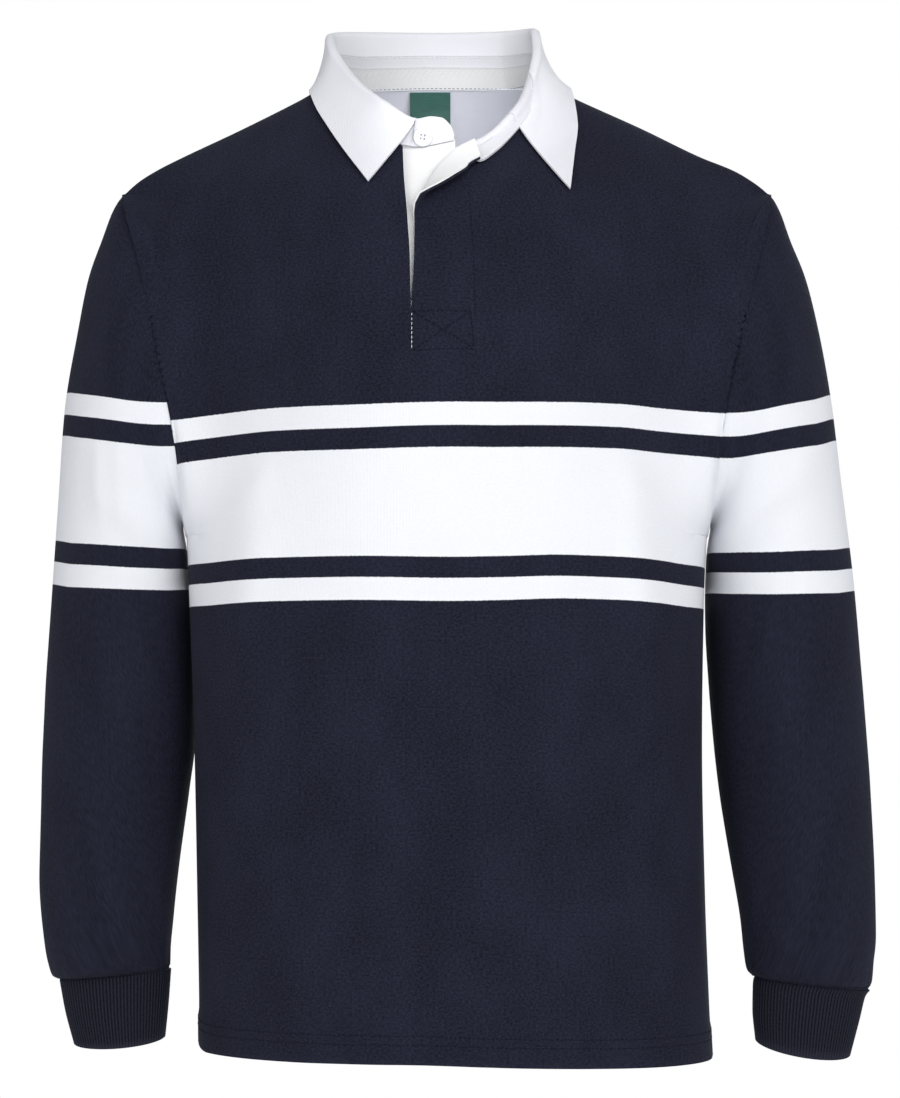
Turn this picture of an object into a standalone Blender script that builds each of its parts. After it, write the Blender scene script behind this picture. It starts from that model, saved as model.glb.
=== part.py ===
"""A long-sleeved rugby shirt, hollow and filled out as if worn, each cut piece a cloth wall of its own.

Millimetres here become metres in the mesh. +Z is up, the front faces -Y and +X is the wearer's left. The
origin is the middle of the neck at the height of the shoulder's highest point.
"""

import math

import bpy
import numpy as np

MM = 0.001

# Cloth walls and the gaps between pieces.
JERSEY = 1.6
RIB = 2.0
TWILL = 1.6
BAND = 2.0
LIGHT = 1.2  # tape, facings, underlap and label
SEAM = 0.3
ARMHOLE_GAP = 0.45
LOOSE = 0.8  # between a flat-faced panel and a layer that follows its true curve

# Levels.
LOWEST_Z = -750.0
ARMPIT_Z = -350.0
POINT_Z = -86.0  # shoulder point
ARMHOLE_DEPTH = 60.0  # half of it, front to back
SHOULDER_ROUND = 110.0  # how far below the ridge the front reaches its full depth
BACK_ROUND = 125.0
SIDE_POWER = 2.2  # squareness of a level section
ARMHOLE_POWER = 1.2
SIDE_BLEND = 130.0  # height over which one squareness passes into the other
ARMHOLE_REACH = 7  # how closely the armhole's depth keeps to the armhole
FOLD_REACH = 8  # how closely the folds come to the edge
FOLD_ENDS = 0.8  # how bluntly they run out
HOLLOW_DEEP, HOLLOW_WIDE, HOLLOW_AWAY = 0.6, 1.2, 2.0  # the hollow beside a fold, against its ridge

# Placket.
SLIT_X, SLIT_Z = -26.0, -192.0
SLIT_ROW = 7 / 12
BOX_Z = -221.0  # foot of the placket
TAB_TOP = -62.0  # neck seam at the buttoned tab
PLACKET_WIDTH = 46.0
FACING_WIDTH, FACING_TOP = 46.0, 26.0
UNDERLAP_HIDDEN = 7.0
UNDERLAP_STEP = 0.16  # share of its width over which it goes one layer deeper
FOLLOW = 4  # how late the placket layers bend to the slope of the neck seam
ROLL = 1.3  # radius of the turned-out edge on its inner side

# Collar.
NECK_X, NECK_Y = -9.0, -5.0
COLLAR_ROLL = 3.0
LEAF_FIRST, LEAF_LAST = -1.0, 0.85
LEAF_TS = np.linspace(LEAF_FIRST, LEAF_LAST, 27)
STAND_FIRST, STAND_LAST = -1.25, 0.985
TAPE_WIDTH = 14.0
TAPE_REACH = 0.44
LEAF_CLEAR = 2.6
STAND_LIFT = 1.6  # clears the slanted cut edge of the body
STAND_ROWS = 8
LEAF_SHARES = np.array([0, 0.05, 0.10, 0.155, 0.20, 0.25, 0.30, 0.45, 0.70, 1.0])
TAPE_START = 1.5
LEAF_START = 0.9
SEAM_DROP = 0.8  # what is sewn in under the neck seam ends this far below it

# Button.
BUTTON_RADIUS, BUTTON_THICK = 7.0, 2.6
BUTTON_RIM, BUTTON_DISH = 1.5, 0.7
BUTTON_BEVEL = 0.6
HOLE_RADIUS, HOLE_RING, HOLES = 0.9, 1.8, 4
BUTTON_SIDES, HOLE_SIDES = 24, 8
BUTTON_T, BUTTON_RISE = -1.06, 8.5

# Cuffs.
RIBS = 84
RIB_HEIGHT = 0.7

# Mesh.
BODY_ROWS_LOW, BODY_ROWS_HIGH = 9, 12
RIGHT_COLUMNS, LEFT_COLUMNS, BACK_COLUMNS = 12, 13, 24
FLAP_COLUMNS, FACING_COLUMNS, UNDERLAP_COLUMNS = 6, 4, 7
CROWDING = 1.5  # how much closer the columns are towards the side seams
SHOULDER_SHARES = np.array([0, 0.07, 0.2, 0.4, 0.6, 0.8, 1.0])  # columns from shoulder point to neck
SHOULDER_NECK = {"right": -90.0, "left": 72.0}


def table(columns, *rows):
    """A short table as one array for each named column."""
    return {name: np.array([row[i] for row in rows], float) for i, name in enumerate(columns.split())}


# Edge of the body at each level: side seam below the armpit, armhole above it.
EDGE = table(
    "z right left",
    (LOWEST_Z, -190.4, 203.8),
    (-700, -191.0, 201.5),
    (-625, -192.3, 198.7),
    (-509, -194.6, 196.4),
    (-402, -198.3, 197.8),
    (ARMPIT_Z, -200.5, 200.0),
    (-325, -201.5, 202.0),
    (-290, -203.5, 205.0),
    (-250, -208.0, 209.0),
    (-213, -213.5, 214.0),
    (-165, -217.5, 221.0),
    (-130, -221.5, 226.5),
    (-110, -229.0, 233.5),
    (-97, -238.5, 241.0),
    (POINT_Z, -249.5, 249.0),
)

# Height of the hem from side seam to side seam.
HEM = table(
    "x z",
    (-190.4, -737.5),
    (-180, -740.5),
    (-35, -740.5),
    (60, -743.5),
    (113, -745.3),
    (165, -747),
    (203.8, -748),
)

# Half depth of the body at its middle.
DEPTH = table(
    "z front back",
    (LOWEST_Z, 112, 108),
    (-625, 116, 110),
    (-509, 124, 115),
    (-402, 135, 125),
    (-350, 139, 129),
    (-300, 140, 132),
    (-250, 138, 133),
    (-200, 131, 132),
    (-150, 117, 128),
    (-100, 97, 118),
    (-62, 76, 106),
    (-30, 61, 94),
    (10, 50, 82),
)

# Ridge of the shoulders, and where it would run over the neck on the front and on the back.
RIDGE = table(
    "x front back",
    (-249.5, -86, -86),
    (-236, -75, -75),
    (-221, -66, -66),
    (-205, -58, -58),
    (-159, -36.5, -36.5),
    (-113, -13.5, -13.5),
    (-90, -1, -1),
    (-62, 6, 26),
    (-9, 13, 36),
    (45, 7, 26),
    (72, 0, 0),
    (102, -14, -14),
    (148.6, -35, -35),
    (194.8, -57, -57),
    (222, -68, -68),
    (237, -77, -77),
    (249, -86, -86),
)

# The placket's two edges: the right one, and the roll of the left one with what turns out beyond it.
OPENING = table(
    "z right roll turn length slide",
    (SLIT_Z, SLIT_X, SLIT_X + 0.1, 4, 0.6, 0),
    (-175, -26.6, -23.8, 6, 1.0, 0),
    (-150, -27.1, -22.0, 9, 1.6, 0),
    (-123, -28.8, -20.5, 20, 2.4, 0),
    (-112, -29.6, -18.0, 70, 5.0, 1),
    (-101, -30.6, -13.0, 124, 13.0, 4),
    (-86, -31.8, -5.0, 150, 19.5, 9),
    (-70, -32.6, 8.5, 162, 24.0, 16),
    (-60, -33.0, 24.0, 166, 18.0, 23),
)

# Largest folds of the body: soft ridges, from upper to lower end, with a hollow on the outer side.
FOLDS = {
    "front": table(
        "x_high z_high x_low z_low width height",
        (-136, -262, -162, -540, 17, 4.5),
        (130, -262, 168, -570, 15, 5.0),
    ),
    "back": table(
        "x_high z_high x_low z_low width height",
        (-128, -250, -150, -560, 18, 4.5),
        (122, -235, 158, -540, 17, 5.0),
        (-22, -330, -6, -690, 24, 3.0),
    ),
}

# Neck seam from the button tab (wearer's right) round the back to the free end (wearer's left).
NECK = table(
    "t x z",
    (-1.25, 5.0, -55.5),
    (-1.12, -12.0, -60.0),
    (-1.0, -27.0, -62.0),
    (-0.95, -33.0, -62.0),
    (-0.85, -48.0, -54.0),
    (-0.7, -66.0, -38.0),
    (-0.55, -80.0, -20.0),
    (-0.42, -88.0, -6.0),
    (-0.33, -90.0, -1.0),
    (-0.17, -62.0, 5.0),
    (0.0, -9.0, 8.0),
    (0.17, 45.0, 6.0),
    (0.33, 72.0, 0.0),
    (0.42, 71.0, -6.0),
    (0.55, 67.0, -20.0),
    (0.7, 60.0, -32.0),
    (0.85, 50.0, -41.5),
    (0.93, 39.0, -52.0),
    (1.0, 26.0, -60.0),
)

# Spans of the seam in which x only rises or only falls.
NECK_SPANS = {"right": (-0.96, -0.32), "left": (0.32, 1.0), "back": (-0.34, 0.34), "tab": (-1.25, -0.84)}

# Top of the collar, where it turns over: the stand's own top at the tab.
TURN = table(
    "t x y z",
    (-1.25, 5.9, -66.0, -53.0),
    (-1.22, 2.6, -67.0, -46.0),
    (-1.18, -4.0, -68.5, -40.6),
    (-1.1, -12.0, -70.0, -40.0),
    (-1.0, -23.0, -71.0, -42.0),
    (-0.85, -44.0, -62.0, -28.5),
    (-0.7, -62.0, -42.0, -12.0),
    (-0.55, -77.0, -21.0, 8.0),
    (-0.42, -88.0, -3.0, 28.0),
    (-0.3, -91.0, 15.0, 41.0),
    (-0.17, -66.0, 42.0, 49.0),
    (0.0, -10.0, 56.0, 51.5),
    (0.17, 42.0, 44.0, 50.0),
    (0.3, 67.5, 17.0, 46.0),
    (0.42, 69.0, -4.0, 28.0),
    (0.55, 65.0, -23.0, 5.0),
    (0.7, 57.0, -44.0, -20.0),
    (0.85, 48.0, -57.0, -35.0),
    (0.93, 36.0, -66.0, -49.0),
    (1.0, 25.0, -72.0, -58.0),
)

# Free edge of what turns over, how straight it leaves the turn, and the height of the stand.
FALL = table(
    "t x y z lead stand",
    (-1.0, -58.0, -90, -92.5, 4, 18.0),
    (-0.85, -75.5, -70, -67.0, 10, 20.0),
    (-0.7, -89.5, -50, -44.0, 14, 22.0),
    (-0.55, -100.5, -28, -23.0, 16, 24.0),
    (-0.42, -105.5, -6, -7.0, 18, 26.0),
    (-0.3, -106.0, 26, -4.0, 18, 26.0),
    (-0.17, -78.0, 60, 0.0, 18, 26.0),
    (0.0, -10.0, 74, 2.0, 18, 26.0),
    (0.17, 58.0, 60, 1.0, 18, 26.0),
    (0.3, 85.0, 26, -1.0, 18, 26.0),
    (0.42, 94.0, -6, -5.0, 18, 26.0),
    (0.55, 97.5, -28, -25.0, 16, 26.0),
    (0.65, 98.5, -46, -42.0, 14, 26.0),
    (0.75, 95.5, -62, -64.0, 14, 26.0),
    (0.85, 91.0, -90, -97.5, 20, 26.0),
)

# Free edge of the stand beyond the leaf on the wearer's left.
STAND_END = table(
    "t x z",
    (0.85, 47.0, -57.0),
    (0.93, 35.5, -69.5),
    (0.98, 24.0, -77.5),
    (1.0, 19.5, -76.0),
)

# Sleeves: the outer and inner point of each ring, its half depth and its middle, front to back.
SLEEVE = {
    "right": table(
        "outer_x outer_z inner_x inner_z depth middle",
        (249.5, -86, 200.5, -350, 60, 0),
        (257.0, -98, 201.2, -344, 62, 1),
        (265.5, -120, 202.8, -340, 64, 3),
        (276.5, -150, 203.4, -344, 66, 6),
        (286.0, -194, 201.2, -360, 69, 11),
        (295.5, -248, 199.6, -385, 70, 18),
        (302.0, -325, 197.6, -420, 68, 25),
        (308.0, -402, 196.2, -462, 65, 28),
        (312.6, -472, 196.6, -505, 62, 26),
        (315.2, -541, 200.5, -545, 59, 20),
        (315.5, -606, 206.9, -600, 55, 12),
        (311.2, -655, 211.3, -645, 49, 5),
        (307.6, -676, 213.0, -665, 44, 3),
        (303.4, -687, 213.3, -676.5, 36, 2),
        (296.5, -689.6, 214.6, -681.6, 25, 2),
    ),
    "left": table(
        "outer_x outer_z inner_x inner_z depth middle",
        (249.0, -86, 200.0, -350, 60, 0),
        (256.0, -99, 200.7, -344, 62, 1),
        (264.0, -121, 202.4, -340, 64, 3),
        (276.0, -150, 203.0, -344, 66, 6),
        (287.5, -194, 201.0, -360, 69, 10),
        (298.0, -248, 199.8, -385, 70, 15),
        (307.5, -325, 200.4, -420, 68, 18),
        (316.4, -402, 203.0, -462, 65, 18),
        (322.6, -472, 206.9, -505, 62, 16),
        (327.6, -541, 211.4, -545, 59, 12),
        (330.0, -606, 219.3, -600, 55, 8),
        (330.4, -655, 226.2, -645, 49, 4),
        (328.6, -676, 228.6, -668, 44, 3),
        (327.2, -691, 231.0, -682, 36, 2),
        (323.8, -697.6, 238.4, -688.6, 25, 2),
    ),
}
SLEEVE_SIGN = {"right": -1, "left": 1}

# Cuffs: the same columns, from the sleeve seam down, and how far each ring dips in front.
CUFF = {
    "right": table(
        "outer_x outer_z inner_x inner_z depth dip",
        (296.5, -690, 214.6, -682, 25, 0),
        (292.0, -714, 216.5, -708, 26, 1.5),
        (285.5, -738, 219.0, -733.5, 25, 4),
    ),
    "left": table(
        "outer_x outer_z inner_x inner_z depth dip",
        (323.8, -698, 238.4, -689, 25, 0),
        (317.5, -722, 237.4, -713, 26, 2),
        (310.0, -748.0, 239.5, -739.0, 25, 6),
    ),
}
CUFF_MIDDLE = 2.0

# Half moon inside the back neck: half width across at each depth below the neck seam.
HALF_MOON = table("drop half", (0, 72), (30, 71), (62, 61), (84, 43), (98, 18))
HALF_MOON_ENDS = 2.5  # how much further in its two ends lie, where the shoulder bends over them
HALF_MOON_FADE = 30.0  # depth over which that fades
HALF_MOON_ROWS, HALF_MOON_COLUMNS = 7, 13
LABEL_MIDDLE, LABEL_HALF, LABEL_LONG = -13.5, 16.3, 42.0
LABEL_THICK, LABEL_SLOPE, LABEL_FALL = 1.0, 0.6, 0.8
LABEL_ROWS, LABEL_COLUMNS = 6, 4


def smooth(at, xs, ys):
    """A cubic through the points that never overshoots them, for rising xs."""
    at = np.clip(np.asarray(at, float), xs[0], xs[-1])
    step, slope = np.diff(xs), np.diff(ys) / np.diff(xs)
    tangent = np.empty(len(xs))
    tangent[0], tangent[-1] = slope[0], slope[-1]
    before, after = 2 * step[1:] + step[:-1], step[1:] + 2 * step[:-1]
    same = slope[:-1] * slope[1:] > 0
    safe_a, safe_b = np.where(same, slope[:-1], 1), np.where(same, slope[1:], 1)
    tangent[1:-1] = np.where(same, (before + after) / (before / safe_a + after / safe_b), 0)
    i = np.clip(np.searchsorted(xs, at, side="right") - 1, 0, len(step) - 1)
    h = step[i]
    p = (at - xs[i]) / h
    return (
        ys[i] * (1 + 2 * p) * (1 - p) ** 2
        + tangent[i] * h * p * (1 - p) ** 2
        + ys[i + 1] * p * p * (3 - 2 * p)
        + tangent[i + 1] * h * p * p * (p - 1)
    )


def read(rows, column, at, by):
    return smooth(at, rows[by], rows[column])


def unit(v):
    return v / np.maximum(np.linalg.norm(v, axis=-1, keepdims=True), 1e-9)


# ---------------------------------------------------------------- body


def armhole_depth(z):
    middle, half = (POINT_Z + ARMPIT_Z) / 2, (POINT_Z - ARMPIT_Z) / 2
    return ARMHOLE_DEPTH * np.sqrt(np.clip(1 - ((z - middle) / half) ** 2, 0, 1))


def fold_height(x, z, which):
    """How far the largest folds stand out of the body's plain form."""
    height = 0.0
    for x_high, z_high, x_low, z_low, width, most in zip(*FOLDS[which].values()):
        down = np.clip((z_high - z) / (z_high - z_low), 0, 1)
        away = (x - x_high - (x_low - x_high) * down) * np.sign(x_low)
        ridge = np.exp(-((away / width) ** 2))
        hollow = HOLLOW_DEEP * np.exp(-((away / width / HOLLOW_WIDE - HOLLOW_AWAY) ** 2))
        height = height + most * (ridge - hollow) * np.sin(math.pi * down) ** FOLD_ENDS
    return height


def body_depth(x, z, which):
    """Distance of the cloth's outer face from the plane of the side seams, for which = front or back."""
    x, z = np.asarray(x, float), np.asarray(z, float)
    edge = np.where(x < 0, -read(EDGE, "right", z, "z"), read(EDGE, "left", z, "z"))
    across = np.clip(np.abs(x) / edge, 0, 1)
    rounding = SHOULDER_ROUND if which == "front" else BACK_ROUND
    below = np.clip((read(RIDGE, which, x, "x") - z) / rounding, 0, 1)
    full = read(DEPTH, which, z, "z") * np.sqrt(1 - (1 - below) ** 2)
    above = np.clip((z - ARMPIT_Z) / SIDE_BLEND + 0.3, 0, 1)
    power = SIDE_POWER + (ARMHOLE_POWER - SIDE_POWER) * above * above * (3 - 2 * above)
    share = (1 - across**SIDE_POWER) ** (1 / power)
    folds = fold_height(x, z, which) * (1 - across**FOLD_REACH)
    return full * share + armhole_depth(z) * across**ARMHOLE_REACH + folds


def on_body(x, z, which, inward=0.0):
    """Points of a body panel, moved inward from its outer face along its normal."""
    x, z = np.broadcast_arrays(np.asarray(x, float), np.asarray(z, float))
    sign, reach = (-1 if which == "front" else 1), 0.4
    depth = body_depth(x, z, which)
    dx = (body_depth(x + reach, z, which) - body_depth(x - reach, z, which)) / (2 * reach)
    dz = (body_depth(x, z + reach, which) - body_depth(x, z - reach, which)) / (2 * reach)
    normal = unit(np.stack([-dx, np.full_like(dx, sign), -dz], -1))
    points = np.stack([x, sign * (depth + SEAM / 2), z], -1)
    return points - normal * np.asarray(inward)[..., None], normal


def neck_height(x, span):
    """Height of the neck seam at x, on one of its spans."""
    first, last = NECK_SPANS[span]
    rows = (NECK["t"] >= first) & (NECK["t"] <= last)
    xs, zs = NECK["x"][rows], NECK["z"][rows]
    order = np.argsort(xs)
    return smooth(x, xs[order], zs[order])


def rise_of(v):
    """Share of the way from the armpit to the top edge at grid line v (-1 hem, 0 armpit, 1 top)."""
    return (1 - math.cos(math.pi * max(v, 0.0))) / 2


EDGE_SLIT_Z = ARMPIT_Z + (POINT_Z - ARMPIT_Z) * rise_of(SLIT_ROW)


def row_height(v, top, slit_level, hem=LOWEST_Z):
    """Height of grid line v in a column from hem to top that passes the placket's foot at slit_level."""
    if v <= 0:
        return ARMPIT_Z + v * (ARMPIT_Z - hem)
    rise, at_slit = rise_of(v), rise_of(SLIT_ROW)
    if rise <= at_slit:
        return ARMPIT_Z + (slit_level - ARMPIT_Z) * rise / at_slit
    return slit_level + (top - slit_level) * (rise - at_slit) / (1 - at_slit)


def crowded(count):
    """Columns from an armhole (0) to the middle (1), closer together at the armhole."""
    return np.linspace(0, 1, count + 1) ** CROWDING


def back_columns():
    half = crowded(BACK_COLUMNS // 2) / 2
    return np.concatenate([half, 1 - half[-2::-1]])


def shoulder_xs(side):
    """Where a half's columns meet the shoulder seam, from the shoulder point to the neck."""
    point = EDGE[side][-1]
    return point + (SHOULDER_NECK[side] - point) * SHOULDER_SHARES


def front_grid(side, columns, rows):
    """x and z of one half of the front, from its armhole (column 0) to the placket (column 1)."""
    edge_name = "right" if side == "right" else "roll"
    last = len(SHOULDER_SHARES) - 1
    neck = np.linspace(SHOULDER_NECK[side], OPENING[edge_name][-1], len(columns) - last)
    tops = np.concatenate([shoulder_xs(side), neck[1:]])
    grid = np.zeros((len(rows), len(columns), 2))
    for j, c in enumerate(columns):
        top = read(RIDGE, "front", tops[j], "x") if j <= last else neck_height(tops[j], side)
        slit_level = EDGE_SLIT_Z + (SLIT_Z - EDGE_SLIT_Z) * c
        hem = read(HEM, "z", EDGE[side][0] + (SLIT_X - EDGE[side][0]) * c, "x")
        for i, v in enumerate(rows):
            z = row_height(v, top, slit_level, hem)
            outer = read(EDGE, side, z, "z")
            inner = read(OPENING, edge_name, z, "z") if v > SLIT_ROW else SLIT_X
            x = outer + (inner - outer) * c
            bend = rise_of(v) ** 3 if 0 < c < 1 else 0
            grid[i, j] = x + (tops[j] - x) * bend, z
    return grid


def back_grid(columns, rows):
    """x and z of the back, from the wearer's right armhole (column 0) to the left one (column 1)."""
    last = len(SHOULDER_SHARES) - 1
    neck = np.linspace(SHOULDER_NECK["right"], SHOULDER_NECK["left"], len(columns) - 2 * last)
    tops = np.concatenate([shoulder_xs("right"), neck[1:-1], shoulder_xs("left")[::-1]])
    grid = np.zeros((len(rows), len(columns), 2))
    for j, c in enumerate(columns):
        over_neck = last <= j < len(columns) - last
        top = neck_height(tops[j], "back") if over_neck else read(RIDGE, "back", tops[j], "x")
        hem = read(HEM, "z", EDGE["right"][0] + (EDGE["left"][0] - EDGE["right"][0]) * c, "x")
        for i, v in enumerate(rows):
            z = row_height(v, top, EDGE_SLIT_Z, hem)
            right, left = read(EDGE, "right", z, "z"), read(EDGE, "left", z, "z")
            x = right + (left - right) * c
            bend = rise_of(v) ** 3 if 0 < c < 1 else 0
            grid[i, j] = x + (tops[j] - x) * bend, z
    return grid


def body_rows():
    """Grid lines from the hem (-1) past the armpit (0) to the top edge (1)."""
    low = np.linspace(-1, 0, BODY_ROWS_LOW + 1)[:-1]
    return np.concatenate([low, np.linspace(0, 1, BODY_ROWS_HIGH + 1)])


def panel(grid, which, rows, both):
    """Outer and inner points and normals of a panel's grid. Its cut edges on the seams of side and shoulder
    face across them, on the first side or on both."""
    outer, normal = on_body(grid[..., 0], grid[..., 1], which)
    shoulder = len(SHOULDER_SHARES)
    normal[rows <= 0, 0, 1] = 0
    normal[-1, :shoulder, 1] = 0
    if both:
        normal[rows <= 0, -1, 1] = 0
        normal[-1, -shoulder:, 1] = 0
    normal = unit(normal)
    return outer, outer - JERSEY * normal, normal


def roll_frame(z):
    """A point of the turned-out edge's roll, the direction away from the panel there and the way out."""
    step = 0.5
    x = read(OPENING, "roll", z, "z")
    point, out = on_body(x, z, "front")
    low, _ = on_body(read(OPENING, "roll", z - step, "z"), z - step, "front")
    high, _ = on_body(read(OPENING, "roll", z + step, "z"), z + step, "front")
    along = unit(high - low)
    away = unit(np.cross(out, along))
    return point, away * np.where(away[0] > 0, -1, 1), out, along


def turned(z, share, inward=0.0):
    """A point of the turned-out edge: share runs from the roll line (0) to the free edge (1)."""
    point, away, out, along = roll_frame(z)
    turn = math.radians(float(read(OPENING, "turn", z, "z")))
    length = float(read(OPENING, "length", z, "z"))
    arc = ROLL * turn
    at = share * (arc + length)
    angle = min(at / ROLL, turn)
    rest = max(at - arc, 0.0)
    across, up = math.sin(angle) * away + (1 - math.cos(angle)) * out, math.cos(angle) * out
    heading = math.cos(angle) * away + math.sin(angle) * out
    facing = up - math.sin(angle) * away
    slid = float(read(OPENING, "slide", z, "z")) * share
    return point + ROLL * across + rest * heading - slid * along - inward * facing


def front_points():
    """The front's vertices and faces: two halves that share the column below the placket."""
    rows = body_rows()
    flap = np.linspace(0, 1, FLAP_COLUMNS + 1)[1:]
    halves = {}
    for side, count in (("right", RIGHT_COLUMNS), ("left", LEFT_COLUMNS)):
        halves[side] = panel(front_grid(side, crowded(count), rows), "front", rows, False)
    outer, inner, faces = [], [], []

    def add(pairs):
        first = len(outer)
        outer.extend(a for a, _ in pairs)
        inner.extend(b for _, b in pairs)
        return list(range(first, first + len(pairs)))

    index = {side: [] for side in halves}
    for i, v in enumerate(rows):
        right = add(list(zip(halves["right"][0][i], halves["right"][1][i])))
        left = add(list(zip(halves["left"][0][i], halves["left"][1][i])))
        if v <= SLIT_ROW + 1e-9:
            left[-1] = right[-1]
            left += [right[-1]] * len(flap)
        else:
            z = halves["left"][0][i, -1, 2]
            left += add([(turned(z, s), turned(z, s, JERSEY)) for s in flap])
        index["right"].append(right)
        index["left"].append(left)
    for side, flip in (("right", False), ("left", True)):
        faces += grid_faces(index[side], flip)
    return np.array(outer), np.array(inner), faces, halves


def grid_faces(index, flip=False, closed=False):
    """Quads of a grid of vertex numbers, with columns joined round if closed."""
    faces = []
    count = len(index[0])
    for low, high in zip(index[:-1], index[1:]):
        for j in range(count if closed else count - 1):
            k = (j + 1) % count
            quad = (low[j], low[k], high[k], high[j])
            faces.append(quad[::-1] if flip else quad)
    return faces


def numbered(rows, columns):
    return [[i * columns + j for j in range(columns)] for i in range(rows)]


# ---------------------------------------------------------------- sleeves and cuffs


def sleeve_surface(side, ring, angle):
    """A point of the sleeve: ring counts table rows, angle runs from the underarm (0) over the front."""
    rows = SLEEVE[side]
    at = {name: smooth(ring, np.arange(len(rows["depth"])), rows[name]) for name in rows}
    over = (1 - np.cos(angle)) / 2
    x = at["inner_x"] + (at["outer_x"] - at["inner_x"]) * over
    z = at["inner_z"] + (at["outer_z"] - at["inner_z"]) * over
    armhole_z = ARMPIT_Z + (POINT_Z - ARMPIT_Z) * over
    seam = np.abs(read(EDGE, side, armhole_z, "z"))
    straight = rows["inner_x"][0] + (rows["outer_x"][0] - rows["inner_x"][0]) * over
    x = x + (seam - straight) * np.clip(1 - ring / 3, 0, 1) ** 2
    y = at["middle"] - at["depth"] * np.sin(angle)
    return np.stack([SLEEVE_SIGN[side] * x, y, z + 0 * x], -1)


def sleeve_normal(side, ring, angle):
    step = 0.02
    last = len(SLEEVE[side]["depth"]) - 1
    along = sleeve_surface(side, np.minimum(ring + step, last), angle) - sleeve_surface(
        side, np.maximum(ring - step, 0), angle
    )
    round_ = sleeve_surface(side, ring, angle + step) - sleeve_surface(side, ring, angle - step)
    return unit(np.cross(along, round_)) * SLEEVE_SIGN[side]


def armhole_loop(side, halves, back):
    """Outer and inner points of the armhole, from the underarm forward and over, moved off the seam."""
    first = BODY_ROWS_LOW
    column = 0 if side == "right" else -1
    front = [part[first:, 0] for part in halves[side]]
    behind = [part[first:, column] for part in back]
    loops = [np.concatenate([f, b[-2:0:-1]]) for f, b in zip(front, behind)]
    half = BODY_ROWS_HIGH
    for loop in loops:
        loop[0, 1] = loop[half, 1] = 0
    outer, inner, normal = loops
    tangent = unit(np.roll(outer, -1, 0) - np.roll(outer, 1, 0))
    off = unit(np.cross(unit(normal), tangent))
    off *= np.where((off[half] * [SLEEVE_SIGN[side], 0, 0]).sum() > 0, 1, -1)
    return outer + ARMHOLE_GAP * off, inner + ARMHOLE_GAP * off


def sleeve_points(side, halves, back):
    """The sleeve's rings, the first of them the body's own armhole moved off the seam."""
    angles = np.linspace(0, 2 * math.pi, 2 * BODY_ROWS_HIGH + 1)[:-1]
    rings = np.arange(len(SLEEVE[side]["depth"]))
    outer, inner = [], []
    loop_outer, loop_inner = armhole_loop(side, halves, back)
    outer.append(loop_outer)
    inner.append(loop_inner)
    for ring in rings[1:]:
        points = sleeve_surface(side, ring + 0 * angles, angles)
        normal = sleeve_normal(side, ring + 0 * angles, angles)
        if ring == rings[-1]:
            normal = in_ring_plane(points)
        outer.append(points)
        inner.append(points - JERSEY * normal)
    faces = grid_faces(numbered(len(outer), len(angles)), closed=True)
    return np.concatenate(outer), np.concatenate(inner), faces


def in_ring_plane(points):
    """Outward directions of a ring's points that stay in its plane."""
    tangent = unit(np.roll(points, -1, 0) - np.roll(points, 1, 0))
    centre = points.mean(0)
    axis = unit(np.cross(tangent, points - centre).sum(0))
    return unit(np.cross(axis, tangent) * -1)


def even_angles(half_width, half_depth, count):
    """Angles that part an ellipse into steps of even length."""
    fine = np.linspace(0, 2 * math.pi, 721)
    steps = np.hypot(half_width * np.diff(np.cos(fine)), half_depth * np.diff(np.sin(fine)))
    run = np.concatenate([[0], np.cumsum(steps)])
    return np.interp(np.linspace(0, run[-1], count, endpoint=False), run, fine)


def cuff_points(side):
    """The cuff's rings: every second point raised into a rib, over a plain inside."""
    rows = CUFF[side]
    sign = SLEEVE_SIGN[side]
    count = 2 * RIBS
    angles = even_angles((rows["outer_x"][1] - rows["inner_x"][1]) / 2, rows["depth"][1], count)
    outer, inner = [], []
    for k in range(len(rows["depth"])):
        over = (1 - np.cos(angles)) / 2
        x = sign * (rows["inner_x"][k] + (rows["outer_x"][k] - rows["inner_x"][k]) * over)
        z = rows["inner_z"][k] + (rows["outer_z"][k] - rows["inner_z"][k]) * over
        z -= rows["dip"][k] * np.sin(angles)
        y = CUFF_MIDDLE - rows["depth"][k] * np.sin(angles)
        ring = np.stack([x, y, z], -1)
        out = in_ring_plane(ring)
        raised = np.where(np.arange(count) % 2 == 0, RIB_HEIGHT, 0.0)[:, None]
        outer.append(ring + out * raised)
        inner.append(ring - out * RIB)
    faces = grid_faces(numbered(len(outer), count), closed=True)
    return np.concatenate(outer), np.concatenate(inner), faces


# ---------------------------------------------------------------- collar


def neck_seam(t):
    """A point of the neck seam, at the middle of the body's wall."""
    x, z = read(NECK, "x", t, "t"), read(NECK, "z", t, "t")
    which = "back" if abs(t) < 0.33 else "front"
    sink = JERSEY / 2 + float(smooth(-t, np.array([0.93, 1.05]), np.array([0.0, 3.2])))
    point, _ = on_body(x, z, which, sink)
    return point


def clear_of_body(point, gap):
    """The point, moved forward or back until it is this far outside the body."""
    x, y, z = point
    which, sign = ("front", -1) if y < 0 else ("back", 1)
    if z - gap > read(RIDGE, which, x, "x"):
        return point
    least = float(body_depth(x, z - gap, which)) + gap
    return np.array([x, sign * max(sign * y, least), z])


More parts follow.
